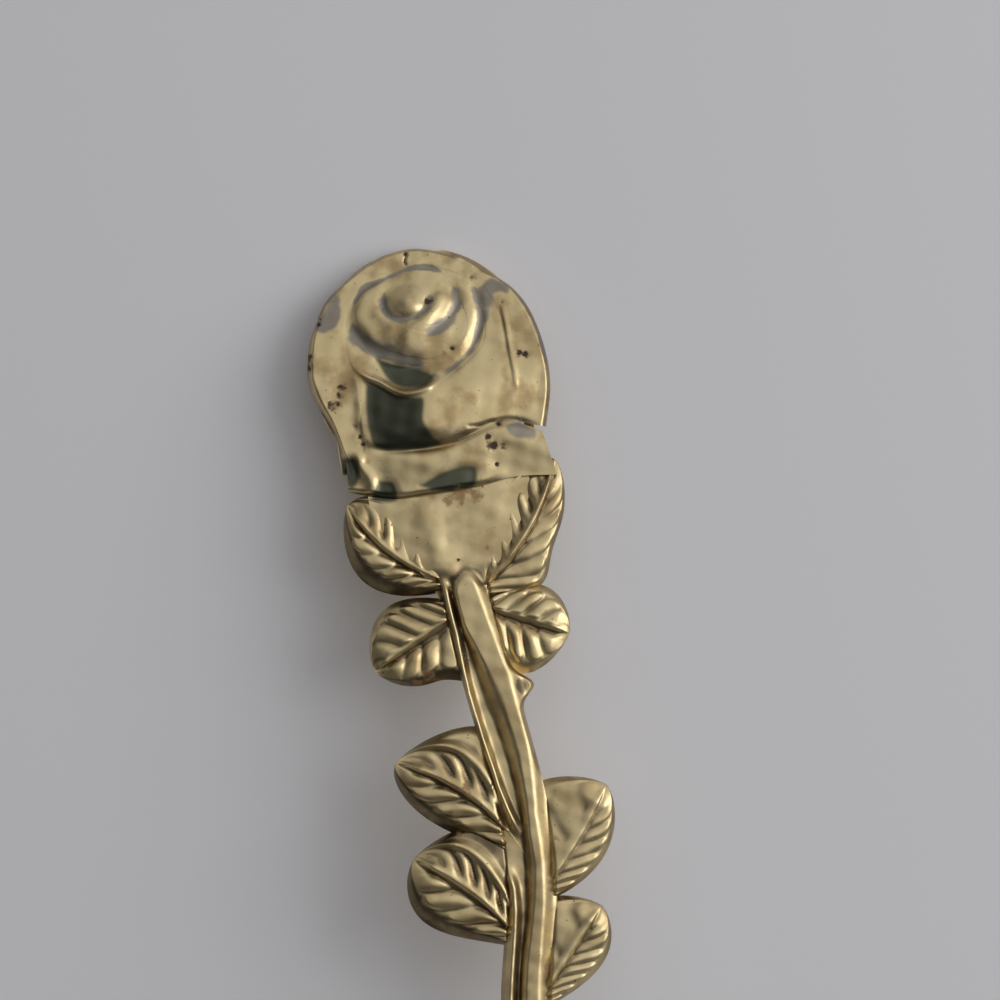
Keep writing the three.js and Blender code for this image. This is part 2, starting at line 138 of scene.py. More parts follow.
def spots(x, y, places):
    """Soft round spots, each a place and a radius: 1 in a spot's middle, 0 away from all."""
    total = np.zeros(np.broadcast(x, y).shape)
    for px, py, radius in places:
        total = np.maximum(total, bell(np.hypot(x - px, y - py) / radius))
    return total


def patch(x, y, outline, soft):
    """1 inside a smooth outline, 0 outside, with a soft edge."""
    closed = outline + outline[:1]
    line = along(closed, np.linspace(0, 1, CURVE_STEPS + 1))
    inside = np.zeros(np.broadcast(x, y).shape, bool)
    for (x0, y0), (x1, y1) in zip(line[:-1], line[1:]):
        if y0 != y1:
            inside ^= ((y0 > y) != (y1 > y)) & (x < x0 + (x1 - x0) * (y - y0) / (y1 - y0))
    gap, _ = nearest(closed, x, y)
    return smooth(np.where(inside, gap, -gap), -soft, soft)


def rose_units(x, d):
    return (x - ROSE_OFFSET) / ROSE_RADIUS, 1 - d / ROSE_RADIUS


def rose_place(u, v):
    return ROSE_OFFSET + u * ROSE_RADIUS, (1 - v) * ROSE_RADIUS


# Lines of the rose
LIP = [
    (-0.61, 0.12), (-0.51, 0), (-0.39, -0.08), (-0.28, -0.17), (-0.19, -0.21), (-0.08, -0.21), (0.02, -0.18),
    (0.09, -0.13),
]
BULGE = [(0.35, 0.7), (0.44, 0.62), (0.47, 0.5), (0.45, 0.36), (0.39, 0.22), (0.28, 0.1), (0.17, 0.03)]
RING_GROOVE = [
    (0.46, 0.66), (0.51, 0.58), (0.53, 0.44), (0.52, 0.29), (0.45, 0.13), (0.35, 0.02), (0.22, -0.06),
    (0.1, -0.13),
]
BUD_VALLEY = [
    (-0.52, 0.56), (-0.54, 0.39), (-0.47, 0.27), (-0.37, 0.17), (-0.22, 0.11), (-0.08, 0.03), (0.04, -0.07),
]
HEART_GROOVE = [
    (-0.19, 0.7), (-0.25, 0.62), (-0.25, 0.52), (-0.2, 0.44), (-0.1, 0.41), (0, 0.42), (0.09, 0.47),
    (0.14, 0.57), (0.13, 0.66),
]
HEART_FOLD = [(0.2, 0.68), (0.24, 0.59), (0.18, 0.48), (0.1, 0.41), (0, 0.34), (-0.11, 0.27), (-0.21, 0.22)]
SWIRL_GROOVE = [(0.28, 0.68), (0.33, 0.6), (0.35, 0.5), (0.3, 0.4), (0.21, 0.32), (0.09, 0.26), (0, 0.22)]
LEFT_ROLL = [
    (-0.18, 0.78), (-0.27, 0.73), (-0.38, 0.66), (-0.45, 0.55), (-0.46, 0.44), (-0.4, 0.3), (-0.28, 0.2),
]
RIM_LINE = [
    (-0.61, 0.44), (-0.52, 0.58), (-0.42, 0.71), (-0.33, 0.75), (-0.17, 0.79), (0, 0.83), (0.15, 0.82),
    (0.27, 0.76), (0.4, 0.68),
]
SIDE_RIDGE = [(0.72, 0.46), (0.73, 0.23), (0.73, 0.02), (0.735, -0.2), (0.72, -0.32)]
SIDE_GROOVE = [(0.69, 0.46), (0.7, 0.23), (0.7, 0.02), (0.705, -0.2), (0.69, -0.32)]
LEFT_EDGE = [(-0.6, 0.08), (-0.57, -0.05), (-0.58, -0.3), (-0.58, -0.48), (-0.55, -0.62)]
COLLAR_VALLEY = [
    (-0.6, -0.6), (-0.48, -0.64), (-0.27, -0.675), (0.02, -0.69), (0.24, -0.65), (0.42, -0.59), (0.62, -0.57),
    (0.8, -0.64), (0.9, -0.7),
]
COLLAR_CREST = [
    (-0.55, -0.72), (-0.3, -0.77), (0, -0.79), (0.25, -0.76), (0.45, -0.7), (0.66, -0.68), (0.84, -0.77),
]
CURL = [(-0.63, -0.62), (-0.66, -0.73), (-0.6, -0.84), (-0.58, -0.95), (-0.61, -1.02)]
CRACK = [(-0.02, 1), (-0.01, 0.95), (-0.03, 0.9), (-0.02, 0.85)]
SCRATCH = [(0.26, -0.56), (0.38, -0.57), (0.51, -0.55)]

# Hollows and smooth flanks that get painted shade and painted dark reflection, as outlines on the rose
LENS = [
    (-0.39, 0.11), (-0.27, 0.06), (-0.11, 0), (0.02, -0.07), (0.06, -0.12), (-0.05, -0.17), (-0.19, -0.16),
    (-0.31, -0.08),
]
FRONT_FLANK = [
    (-0.5, -0.06), (-0.54, -0.29), (-0.54, -0.48), (-0.5, -0.62), (-0.27, -0.67), (0.02, -0.68),
    (-0.03, -0.59), (-0.08, -0.45), (-0.05, -0.28), (-0.15, -0.25), (-0.26, -0.21), (-0.38, -0.12),
]
COLLAR_HOLLOW = [
    (-0.19, -0.99), (-0.05, -0.93), (0.12, -0.89), (0.27, -0.9), (0.29, -0.98), (0.24, -1.07), (0.08, -1.08),
    (-0.07, -1.05),
]
COLLAR_CORNER = [(-0.53, -0.9), (-0.41, -0.93), (-0.4, -1.07), (-0.5, -1.08), (-0.61, -1.03)]
COLLAR_FLANK = [(-0.8, -0.66), (-0.68, -0.69), (-0.68, -0.84), (-0.76, -0.92), (-0.82, -0.84)]
PAINTED_SHADE_PATCHES = [LENS, FRONT_FLANK, COLLAR_HOLLOW, COLLAR_CORNER, COLLAR_FLANK]

# Places on the rose where the gilding is rubbed down to grey metal: patches and grooves
LEFT_SHOULDER = [(-0.69, 0.75), (-0.6, 0.69), (-0.65, 0.44), (-0.8, 0.42), (-0.86, 0.48), (-0.78, 0.61)]
RIGHT_SHOULDER = [
    (0.54, 0.59), (0.67, 0.65), (0.79, 0.57), (0.79, 0.5), (0.69, 0.49), (0.64, 0.4), (0.53, 0.23),
    (0.5, 0.37),
]
COLLAR_RUB = [(0.58, -0.61), (0.71, -0.59), (0.83, -0.7), (0.77, -0.76), (0.65, -0.71)]
GREY_PATCHES = [LEFT_SHOULDER, RIGHT_SHOULDER, COLLAR_RUB]
RIGHT_RIM = [(0.86, 0.52), (0.97, 0.28), (1.02, -0.05), (1.01, -0.35)]
LEFT_RIM = [(-0.96, 0.28), (-0.99, 0.1), (-0.97, -0.12), (-0.88, -0.36)]
GREY_LINES = [  # line, half width
    (HEART_GROOVE, 0.05), (SWIRL_GROOVE, 0.06), (BUD_VALLEY, 0.085), (RING_GROOVE, 0.04), (RIM_LINE, 0.03),
    (RIGHT_RIM, 0.04), (LEFT_RIM, 0.03),
]
PATCH_SOFTNESS = 0.03
GREY_SOFTNESS = 0.06

# Wear on the whole handle: places and radii
PITS = [
    (-5.79, 8.28, 0.3), (-5.99, 8.77, 0.3), (-6.67, 9.31, 0.35), (-6.2, 9.26, 0.25), (-5.3, 10.91, 0.22),
    (-5.08, 11.59, 0.22), (-4.96, 12.07, 0.22), (5.85, 7.88, 0.26), (6.21, 8.06, 0.26), (3.01, 12.9, 0.28),
    (3.23, 13.53, 0.45), (3.87, 13.63, 0.3), (-7.5, 5.97, 0.3), (-7.68, 6.66, 0.26), (-6.65, 3.95, 0.2),
    (0.5, 3.6, 0.26), (3.65, 2.49, 0.22), (1.62, 6.93, 0.2), (-0.43, 0.26, 0.2), (3.29, 14.78, 0.18),
    (-0.1, 20.38, 0.16), (-0.7, 26.49, 0.16), (5.29, 4.45, 0.16), (3.83, 12.25, 0.2),
]
RUST = [
    (1.06, 7.17, 0.35), (1.39, 7.55, 0.3), (0.61, 16.3, 0.9), (1.5, 16.4, 0.7), (-0.1, 16.6, 0.6),
    (1.88, 19.85, 0.3), (-3.13, 27.4, 0.6), (-2.44, 27.97, 0.6), (-3.98, 27.79, 0.5), (3.89, 28.47, 0.6),
    (3.42, 28.92, 0.4), (-2.05, 34.83, 0.45), (-1.79, 35.26, 0.4), (1.19, 37.84, 0.35), (-2.84, 36.08, 0.45),
    (-4.78, 37.59, 0.5), (3.08, 38.67, 0.4), (2.81, 39.15, 0.3), (2.98, 42.51, 0.4), (1.43, 46.83, 0.45),
    (1.18, 47.18, 0.4), (-2.82, 37.58, 0.4),
]
PIT_HALO, PIT_HALO_SIZE = 0.7, 1.8  # rust around each pit: its strength, and its radius in pit radii


def vertex_marks(x, d):
    """How pitted, worn and rusty each place of the handle is, and where shade and dark reflections are
    painted on the rose.
    """
    u, v = rose_units(x, d)
    worn = np.max([patch(u, v, outline, GREY_SOFTNESS) for outline in GREY_PATCHES], axis=0)
    for line, width in GREY_LINES:
        worn = np.maximum(worn, ridge(u, v, line, width))
    # Painted shade and painted dark reflection: dark patches on the rose's hollows and flanks
    painted_shade_patch = np.max([patch(u, v, outline, PATCH_SOFTNESS) for outline in PAINTED_SHADE_PATCHES], axis=0)
    halos = [(px, pd, radius * PIT_HALO_SIZE) for px, pd, radius in PITS]
    rust = np.maximum(spots(x, d, RUST), PIT_HALO * spots(x, d, halos))
    return {"pit": spots(x, d, PITS), "rust": rust, "worn": worn, "painted_shade_patch": painted_shade_patch}


SHARP_ANGLE = math.radians(50)


def mesh_object(name, points, faces, marks):
    mesh = bpy.data.meshes.new(name)
    mesh.from_pydata(points.tolist(), [], faces)
    solid = bmesh.new()
    solid.from_mesh(mesh)
    bmesh.ops.recalc_face_normals(solid, faces=solid.faces)
    solid.to_mesh(mesh)
    solid.free()
    mesh.shade_smooth()
    mesh.set_sharp_from_angle(angle=SHARP_ANGLE)
    for mark, values in marks.items():
        mesh.attributes.new(mark, "FLOAT", "POINT").data.foreach_set("value", values.astype(np.float32))
    piece = bpy.data.objects.new(name + "_relief", mesh)
    bpy.context.scene.collection.objects.link(piece)
    return piece


def blurred(field, passes):
    """The field averaged with its neighbours, a few times over."""
    for _ in range(passes):
        padded = np.pad(field, 1, mode="edge")
        field = (padded[:-2, 1:-1] + padded[2:, 1:-1] + padded[1:-1, :-2] + padded[1:-1, 2:] + 2 * field) / 6
    return field


# Swells of a worn, hand-finished surface: waves in radians per millimetre, across the handle and along it
LUMP_HEIGHT = 0.03
BROAD_ACROSS, BROAD_ALONG = 2.1, 1.7
SWAY_ACROSS, SWAY_ALONG = 0.8, 0.9  # how far the broad waves wander
WANDER_ACROSS, WANDER_ALONG = 1.3, 1.1
FINE_WAVES = [(3.9, -1.6), (1.2, 3.1)]


def lumps(x, d):
    """Uneven swells between -1 and 1."""
    across = np.sin(BROAD_ACROSS * x + SWAY_ACROSS * np.sin(WANDER_ACROSS * d))
    lengthwise = np.sin(BROAD_ALONG * d + SWAY_ALONG * np.sin(WANDER_ALONG * x))
    fine = np.prod([np.sin(wave_x * x + wave_d * d) for wave_x, wave_d in FINE_WAVES], axis=0)
    return (across * lengthwise + fine) / 2


HOLLOW_PASSES = 12
HOLLOW_DEPTH = 0.05  # a groove this deep gets the full dirt and painted shade
CLEAN_EDGE = (0.75, 0.92)  # dirt and painted shade stop between these shares of a piece's half width


def relief(name, plan, height, floor, steps, columns, dirt_and_shade=None):
    """A closed piece on the handle. s runs from 0 to 1 along it, t from -1 to 1 across it."""
    s = np.linspace(0, 1, steps + 1)[:, None]
    t = np.sin(np.linspace(-1, 1, columns + 1) * math.pi / 2)[None, :]
    x, d = np.broadcast_arrays(*plan(s, t))
    rise = height(s, t, x, d) + LUMP_HEIGHT * lumps(x, d)
    sides = [0, columns]
    top = handle_points(x, d, rise).reshape(-1, 3)
    back = handle_points(x[:, sides], d[:, sides], floor).reshape(-1, 3)

    wide = columns + 1
    low = len(top)
    faces = []
    for i in range(steps):
        row = i * wide
        for j in range(columns):
            faces.append((row + j, row + j + 1, row + wide + j + 1, row + wide + j))
        left, right = low + 2 * i, low + 2 * i + 1
        faces.append((left, right, right + 2, left + 2))
        faces.append((row, row + wide, left + 2, left))
        faces.append((row + columns, right, right + 2, row + wide + columns))
    for i in (0, steps):
        faces.append([i * wide + j for j in range(wide)] + [low + 2 * i + 1, low + 2 * i])

    marks = vertex_marks(x, d)
    # Dirt and painted shade in grooves and recesses, where the surface lies under its blurred self, fading
    # out near the piece's edges
    inner = 1 - smooth(np.abs(t), *CLEAN_EDGE)
    marks["dirt_and_shade_mark"] = np.clip((blurred(rise, HOLLOW_PASSES) - rise) / HOLLOW_DEPTH, 0, 1) * inner
    # Leaves add painted shade on their flanges and a darker ground between lobes
    if dirt_and_shade:
        marks["dirt_and_shade_mark"] = np.maximum(marks["dirt_and_shade_mark"], dirt_and_shade(s, t))
    whole = {mark: np.append(values.ravel(), np.zeros(len(back))) for mark, values in marks.items()}
    return mesh_object(name, np.vstack([top, back]), faces, whole)


# Rose: one relief for all its pieces, a sheet with forms raised from it and lines pressed into it
HEART_PLACE = (-0.05, 0.57)
HEART_SHARE = 0.14
HEART_RISE = 0.24
HEART_REACH = 1.15  # of the heart's skin, in its radii
SHEET_HEIGHT = 1.6
BUD_MIDDLE = (-0.02, 0.42)
BUD_ACROSS = 0.54
BUD_FORWARD = 0.4
BUD_BACKWARD = 0.56
BUD_RISE = 0.65
BUD_REACH = 1.08
FRONT_CREST = [(0.05, -0.15), (-0.04, -0.41), (-0.04, -0.7)]
FRONT_RISE = 0.95
FRONT_LEFT = 0.5  # from its crest to its left edge
FRONT_RIGHT = 0.85
FRONT_START, FRONT_END = (-0.1, 0.3), (0.5, 0.72)  # how far back it rises and falls
FRONT_END_FALL = 0.6
SIDE_RISE = 0.08  # of the left petal's outer edge
SIDE_ACROSS, SIDE_BACK = (0.6, 0.95), (0.3, 0.7)  # how far left the edge rises, and how far back it falls
CREST_SOFTNESS = 0.08
FORMS = [  # line, half width, height
    (LIP, 0.032, 0.24), (BULGE, 0.06, 0.1), (RING_GROOVE, 0.04, -0.1), (BUD_VALLEY, 0.07, -0.12),
    (HEART_GROOVE, 0.045, -0.13), (HEART_FOLD, 0.045, 0.1), (SWIRL_GROOVE, 0.045, -0.12),
    (LEFT_ROLL, 0.07, 0.1), (RIM_LINE, 0.03, -0.06), (SIDE_RIDGE, 0.025, 0.06), (SIDE_GROOVE, 0.02, -0.03),
    (LEFT_EDGE, 0.06, 0.12), (COLLAR_VALLEY, 0.035, -0.2), (COLLAR_CREST, 0.1, 0.16), (CURL, 0.05, 0.2),
    (CRACK, 0.01, -0.1), (SCRATCH, 0.012, -0.08),
]
HOLLOWS = [(LENS, -0.16), (COLLAR_HOLLOW, -0.1), (COLLAR_CORNER, -0.12), (COLLAR_FLANK, -0.12)]
HOLLOW_SOFTNESS = 0.05
PIT_DEPTH = 0.04


def bud_dome(u, v):
    """1 on top of the bud, 0 around it."""
    across = (u - BUD_MIDDLE[0]) / BUD_ACROSS
    lengthwise = v - BUD_MIDDLE[1]
    lengthwise = np.where(lengthwise > 0, lengthwise / BUD_FORWARD, lengthwise / BUD_BACKWARD)
    return 1 - smooth(np.hypot(across, lengthwise), 0, BUD_REACH)


def front_bulge(u, v):
    """1 on the front petal's crest, 0 at its edges."""
    crest = np.interp(-v, [-p[1] for p in FRONT_CREST], [p[0] for p in FRONT_CREST])
    away = u - crest
    away = np.sqrt(away**2 + CREST_SOFTNESS**2) - CREST_SOFTNESS
    slope = away / np.where(u < crest, FRONT_LEFT, FRONT_RIGHT)
    ends = smooth(-v, *FRONT_START) * (1 - FRONT_END_FALL * smooth(-v, *FRONT_END))
    return np.clip(1 - slope, 0, 1) * ends


def rose_height(u, v):
    """The whole rose as one sheet."""
    swell = np.maximum(BUD_RISE * bud_dome(u, v), FRONT_RISE * front_bulge(u, v))
    cup = SIDE_RISE * smooth(-u, *SIDE_ACROSS) * (1 - smooth(-v, *SIDE_BACK))
    height = SHEET_HEIGHT + swell + cup
    for line, width, rise in FORMS:
        height = height + rise * ridge(u, v, line, width)
    for outline, rise in HOLLOWS:
        height = height + rise * patch(u, v, outline, HOLLOW_SOFTNESS)
    heart = np.hypot(u - HEART_PLACE[0], v - HEART_PLACE[1]) / HEART_SHARE
    height = height + HEART_RISE * (1 - smooth(heart, 0, HEART_REACH))
    return height - PIT_DEPTH * spots(*rose_place(u, v), PITS)


# Petals lie between two edges. The last value is how far the second edge rolls down, if it is the rose's own.
PETALS = {
    "rose_back_petal": (
        [(-0.64, 0.5), (-0.5, 0.64), (-0.3, 0.75), (0, 0.8), (0.25, 0.78), (0.42, 0.7), (0.58, 0.56)],
        [(-0.83, 0.54), (-0.68, 0.72), (-0.29, 0.95), (0.03, 1), (0.28, 0.93), (0.48, 0.81), (0.76, 0.61)],
        0.5,
    ),
    "rose_left_petal": (
        [(-0.54, 0.62), (-0.6, 0.4), (-0.61, 0.14), (-0.55, -0.02), (-0.56, -0.3), (-0.57, -0.62),
         (-0.58, -0.82)],
        [(-0.74, 0.65), (-0.9, 0.4), (-0.98, 0.1), (-0.96, -0.12), (-0.86, -0.38), (-0.8, -0.62),
         (-0.76, -0.85)],
        0.6,
    ),
    "rose_right_petal": (
        [(0.56, 0.64), (0.66, 0.4), (0.7, 0.18), (0.73, -0.06), (0.72, -0.28), (0.62, -0.56)],
        [(0.72, 0.64), (0.85, 0.51), (0.96, 0.28), (1.02, -0.05), (1.01, -0.35), (0.92, -0.67)],
        0.5,
    ),
    "rose_front_petal": (
        [(-0.57, 0.02), (-0.24, -0.2), (0.04, -0.16), (0.3, -0.02), (0.47, 0.1), (0.54, 0.26), (0.52, 0.47)],
        [(-0.58, -0.62), (-0.22, -0.69), (0.1, -0.7), (0.44, -0.63), (0.74, -0.46), (0.77, -0.05),
         (0.7, 0.46)],
        0,
    ),
    "rose_collar_petal": (
        [(-0.76, -0.58), (-0.3, -0.66), (0, -0.68), (0.3, -0.635), (0.6, -0.57), (0.88, -0.7)],
        [(-0.79, -0.95), (-0.45, -1.06), (-0.1, -1.07), (0.27, -1.07), (0.6, -1.04), (0.95, -1.08)],
        0.4,
    ),
    "rose_wrap_petal": (
        [(-0.5, 0.36), (-0.44, 0.2), (-0.28, 0.09), (-0.16, 0.04), (0.03, 0), (0.18, 0.03), (0.32, 0.14),
         (0.4, 0.28), (0.39, 0.44), (0.33, 0.54)],
        [(-0.62, 0.36), (-0.6, 0.05), (-0.38, -0.13), (-0.22, -0.24), (0.03, -0.21), (0.3, -0.06),
         (0.49, 0.08), (0.56, 0.26), (0.53, 0.45), (0.44, 0.6)],
        0,
    ),
    "rose_inner_left_petal": (
        [(-0.12, 0.73), (-0.22, 0.68), (-0.26, 0.6), (-0.25, 0.5), (-0.18, 0.42), (-0.06, 0.33), (0.06, 0.28),
         (0.17, 0.28), (0.27, 0.34)],
        [(-0.14, 0.8), (-0.38, 0.72), (-0.52, 0.52), (-0.47, 0.32), (-0.32, 0.18), (-0.12, 0.08),
         (0.08, 0.03), (0.26, 0.1), (0.37, 0.25)],
        0,
    ),
    "rose_inner_right_petal": (
        [(0.02, 0.745), (0.08, 0.7), (0.13, 0.62), (0.13, 0.54), (0.07, 0.46), (-0.03, 0.41)],
        [(0.04, 0.82), (0.24, 0.78), (0.37, 0.64), (0.37, 0.46), (0.23, 0.34), (0.02, 0.32)],
        0,
    ),
}
PETAL_FLOOR = 1.05
PETAL_DIVE = 0.016  # a petal's edges sink this far under the sheet
PETAL_RIM = 0.8  # share of the half width and half length where that starts
ROLL_START = 0.7
COLLAR_FOOT = 1.36  # height of the collar's lower right edge, where it runs out on the leaf
COLLAR_RUN_OUT, COLLAR_FALL = (0.5, 0.85), (-0.4, 1)  # stretches where it does, along and across
SHEET_SINK = 0.008  # the base's sheet lies this far under the petals
PETAL_STEPS, PETAL_COLUMNS = 150, 48


def between(first, second):
    def plan(s, t):
        share = np.broadcast_to(s, np.broadcast(s, t).shape)
        place = mix(along(first, share), along(second, share), ((t + 1) / 2)[..., None])
        return rose_place(place[..., 0], place[..., 1])

    return plan


def petal(name):
    first, second, roll = PETALS[name]

    def height(s, t, x, d):
        inner = -t if roll else np.abs(t)
        rim = np.maximum(inner, np.abs(2 * s - 1))
        dive = PETAL_DIVE * smooth(rim, PETAL_RIM, 1)
        rolled = roll * np.clip((t - ROLL_START) / (1 - ROLL_START), 0, 1) ** 2
        sheet = rose_height(*rose_units(x, d)) - dive
        if name == "rose_collar_petal":
            run_out = smooth(s, *COLLAR_RUN_OUT) * smooth(t, *COLLAR_FALL)
            return mix(sheet - rolled, COLLAR_FOOT, run_out)
        return sheet - rolled

    return relief(name, between(first, second), height, PETAL_FLOOR, PETAL_STEPS, PETAL_COLUMNS)


BASE_TOP, BASE_END, BASE_SIDE = 0.95, -0.8, -0.5
BASE_RIM = 0.88  # share of its half width where the sheet falls to the petals' floor
BASE_STEPS, BASE_COLUMNS = 180, 150


def rose_base():
    def plan(s, t):
        v = mix(BASE_TOP, BASE_END, s)
        half = BASE_SHARE * np.sqrt(1 - np.maximum(v, BASE_SIDE) ** 2)
        return rose_place(t * half, v)

    def height(s, t, x, d):
        edge = smooth(np.maximum(np.abs(t), np.abs(2 * s - 1)), BASE_RIM, 1)
        return mix(rose_height(*rose_units(x, d)) - SHEET_SINK, PETAL_FLOOR, edge)

    return relief("rose_base", plan, height, 0, BASE_STEPS, BASE_COLUMNS)


HEART_ROUNDNESS = 0.98  # just under a full circle, so that its two ends are not points
HEART_STEPS, HEART_COLUMNS = 48, 40


def rose_heart():
    def plan(s, t):
        u, v = HEART_PLACE
        reach = HEART_SHARE * HEART_REACH
        lengthwise = 2 * s - 1
        across = t * reach * np.sqrt(1 - HEART_ROUNDNESS * lengthwise**2)
        return rose_place(u + across, v + lengthwise * reach)

    def height(s, t, x, d):
        u, v = rose_units(x, d)
        away = np.hypot(u - HEART_PLACE[0], v - HEART_PLACE[1]) / HEART_SHARE
        return rose_height(u, v) - PETAL_DIVE * smooth(away, PETAL_RIM, HEART_REACH)

    return relief("rose_heart", plan, height, PETAL_FLOOR, HEART_STEPS, HEART_COLUMNS)


# Stem: a bead along its left side, a groove, and a bar whose flat top narrows to a ridge. Lower down it has a
# second bar. Pairs are the distances from the tip, or the places across, between which a form comes or goes.
STEM_WIDTH = 3.3
STEM_BASE = 1
STEM_NECK_WIDTH = 4.6
STEM_NECK_HEIGHT = 0.9
STEM_NECK_LENGTH = 16
STEM_SWAY = 1.4
STEM_SWAY_LENGTH = 40
STEM_SWAY_START = 6
STEM_SWAY_POWER = 1.5
STEM_SWAY_FADE = 0.5  # share of the sway's length after which it dies out
HEEL_PLACE, HEEL_WIDTH, HEEL_LENGTH = 13, 1.1, 0.8
HEAD_LENGTH = 7.5  # of the plate between the collar and the stem
HEAD_HEIGHT = 1.3
HEAD_FALL = 0.15  # of the plate towards its sides
HEAD_FALL_PLACE = (2.2, 5.2)
HEAD_BLEND = 0.3  # share of the head in which the plate runs out on the stem
PLATE_RIDGE, PLATE_RISE, PLATE_RIDGE_WIDTH = [(-1.9, 16.2), (-1.35, 19.3), (-0.7, 22)], 0.18, 0.8
TONGUE = 2.5  # rounded end of the stem on the bowl's rim
TONGUE_HEIGHT = 0.1
TONGUE_BLUNTNESS = 0.001  # keeps its end from closing to a point
# Lines on the stem: distances from the tip, and places there in half widths from the stem's middle
BEAD = [(21.7, -0.75), (25, -0.72), (28.8, -0.86), (31.8, -0.84), (35, -0.72), (36.6, -0.55), (38.2, -0.3)]
BAR_FOOT = [
    (21.5, -0.6), (25, -0.55), (27, -0.43), (29.6, -0.4), (31.5, -0.24), (35.3, -0.15), (38, -0.2),
    (40.6, -0.25), (43, -0.25), (46, -0.35), (HANDLE_LENGTH, -0.35),
]
BAR_LEFT = [
    (21.5, -0.35), (24.5, -0.3), (27, 0.1), (29.6, 0.38), (33, 0.42), (36.5, 0.25), (38.4, 0.15),
    (40.4, 0.25), (43, 0.12), (46, 0.02), (HANDLE_LENGTH, 0.02),
]
BAR_RIGHT = [(21.5, 0.3), (24, 0.5), (28, 0.75), (33, 0.7), (37, 0.4), (HANDLE_LENGTH, 0.4)]
LOWER_BAR = [(40, -0.9), (41.5, -0.7), (43, -0.64), (46, -0.62), (HANDLE_LENGTH, -0.6)]
BEAD_RISE, BEAD_SHARE = 0.5, 0.17
BEAD_START, BEAD_END = (21.2, 22.2), (37, 38.5)
BAR_RISE, BAR_SIDE = 0.65, 0.6
BAR_TIP, BAR_TIP_MIDDLE, BAR_TIP_ROUNDNESS = (20.4, 21.8), 0.1, 3
LOWER_BAR_RISE, LOWER_BAR_SHARE = 0.5, 0.2
LOWER_BAR_START = (39.8, 41.2)
EDGE_DROP = 0.4
EDGE_PLACE = (0.85, 1.05)
FLUSH_START, FLUSH_SIDE = (33, 35), (0, 0.5)  # from there on the right side stays level with the leaves
NECK_FALL, NECK_SQUARENESS = 0.3, 4
STEM_STEPS, STEM_COLUMNS = 460, 64


def neck_share(d):
    return smooth(d, HANDLE_LENGTH - STEM_NECK_LENGTH, HANDLE_LENGTH)


def stem_middle(d):
    share = np.clip((d - ROSE_LENGTH - STEM_SWAY_START) / STEM_SWAY_LENGTH, 0, 1)
    sway = STEM_SWAY * np.sin(2 * math.pi * share**STEM_SWAY_POWER)
    return sway * (1 - smooth(share, STEM_SWAY_FADE, 1))


def head_share(d):
    return 1 - smooth(d, ROSE_LENGTH, ROSE_LENGTH + HEAD_LENGTH)


def heel(d):
    return HEEL_WIDTH * bell((d - ROSE_LENGTH - HEEL_PLACE) / HEEL_LENGTH)


def stem_half_width(d, t):
    bar = mix(STEM_WIDTH, STEM_NECK_WIDTH, neck_share(d)) / 2 + np.where(t > 0, heel(d), 0)
    past = np.clip((d - STEM_END + TONGUE) / TONGUE, 0, 1)
    tongue = np.sqrt(np.clip(1 - past**2, TONGUE_BLUNTNESS, 1))
    return mix(bar, STEM_HEAD_WIDTH / 2, head_share(d)) * tongue


def line_place(points, d):
    return np.interp(d, [p[0] for p in points], [p[1] for p in points])


def stem_forms(d, across):
    """Height of the bead and the two bars over the stem's ground, at places across in half widths."""
    bead = BEAD_RISE * bell((across - line_place(BEAD, d)) / BEAD_SHARE)
    bead = bead * smooth(d, *BEAD_START) * (1 - smooth(d, *BEAD_END))
    right = line_place(BAR_RIGHT, d)
    bar = smooth(across, line_place(BAR_FOOT, d), line_place(BAR_LEFT, d))
    bar = bar * (1 - smooth(across, right, right + BAR_SIDE))
    round_tip = d - (across - BAR_TIP_MIDDLE) ** 2 * BAR_TIP_ROUNDNESS
    bar = BAR_RISE * bar * smooth(round_tip, *BAR_TIP)
    lower = LOWER_BAR_RISE * bell((across - line_place(LOWER_BAR, d)) / LOWER_BAR_SHARE)
    lower = lower * smooth(d, *LOWER_BAR_START)
    return np.maximum(np.maximum(bead, bar), lower)


def stem_height(s, t, x, d):
    across = (x - stem_middle(d)) / (STEM_WIDTH / 2)
    outer = np.maximum(-across, across - heel(d) / (STEM_WIDTH / 2))
    flush = smooth(across, *FLUSH_SIDE) * smooth(d, *FLUSH_START)
    ridged = STEM_BASE + stem_forms(d, across) - EDGE_DROP * smooth(outer, *EDGE_PLACE) * (1 - flush)
    plate = HEAD_HEIGHT - HEAD_FALL * smooth(np.abs(x), *HEAD_FALL_PLACE)
    plate = plate + PLATE_RISE * ridge(x, d, PLATE_RIDGE, PLATE_RIDGE_WIDTH)
    body = mix(ridged, np.maximum(plate, ridged), smooth(head_share(d), 0, HEAD_BLEND))
    neck_across = np.abs(across * STEM_WIDTH / STEM_NECK_WIDTH)
    plain = STEM_NECK_HEIGHT * (1 - NECK_FALL * neck_across**NECK_SQUARENESS)
    return mix(TONGUE_HEIGHT, mix(body, plain, neck_share(d)), smooth(STEM_END - d, 0, TONGUE))


def stem():
    def plan(s, t):
        d = mix(STEM_START, STEM_END, s)
        return stem_middle(d) + t * stem_half_width(d, t), d

    return relief("stem", plan, stem_height, 0, STEM_STEPS, STEM_COLUMNS)


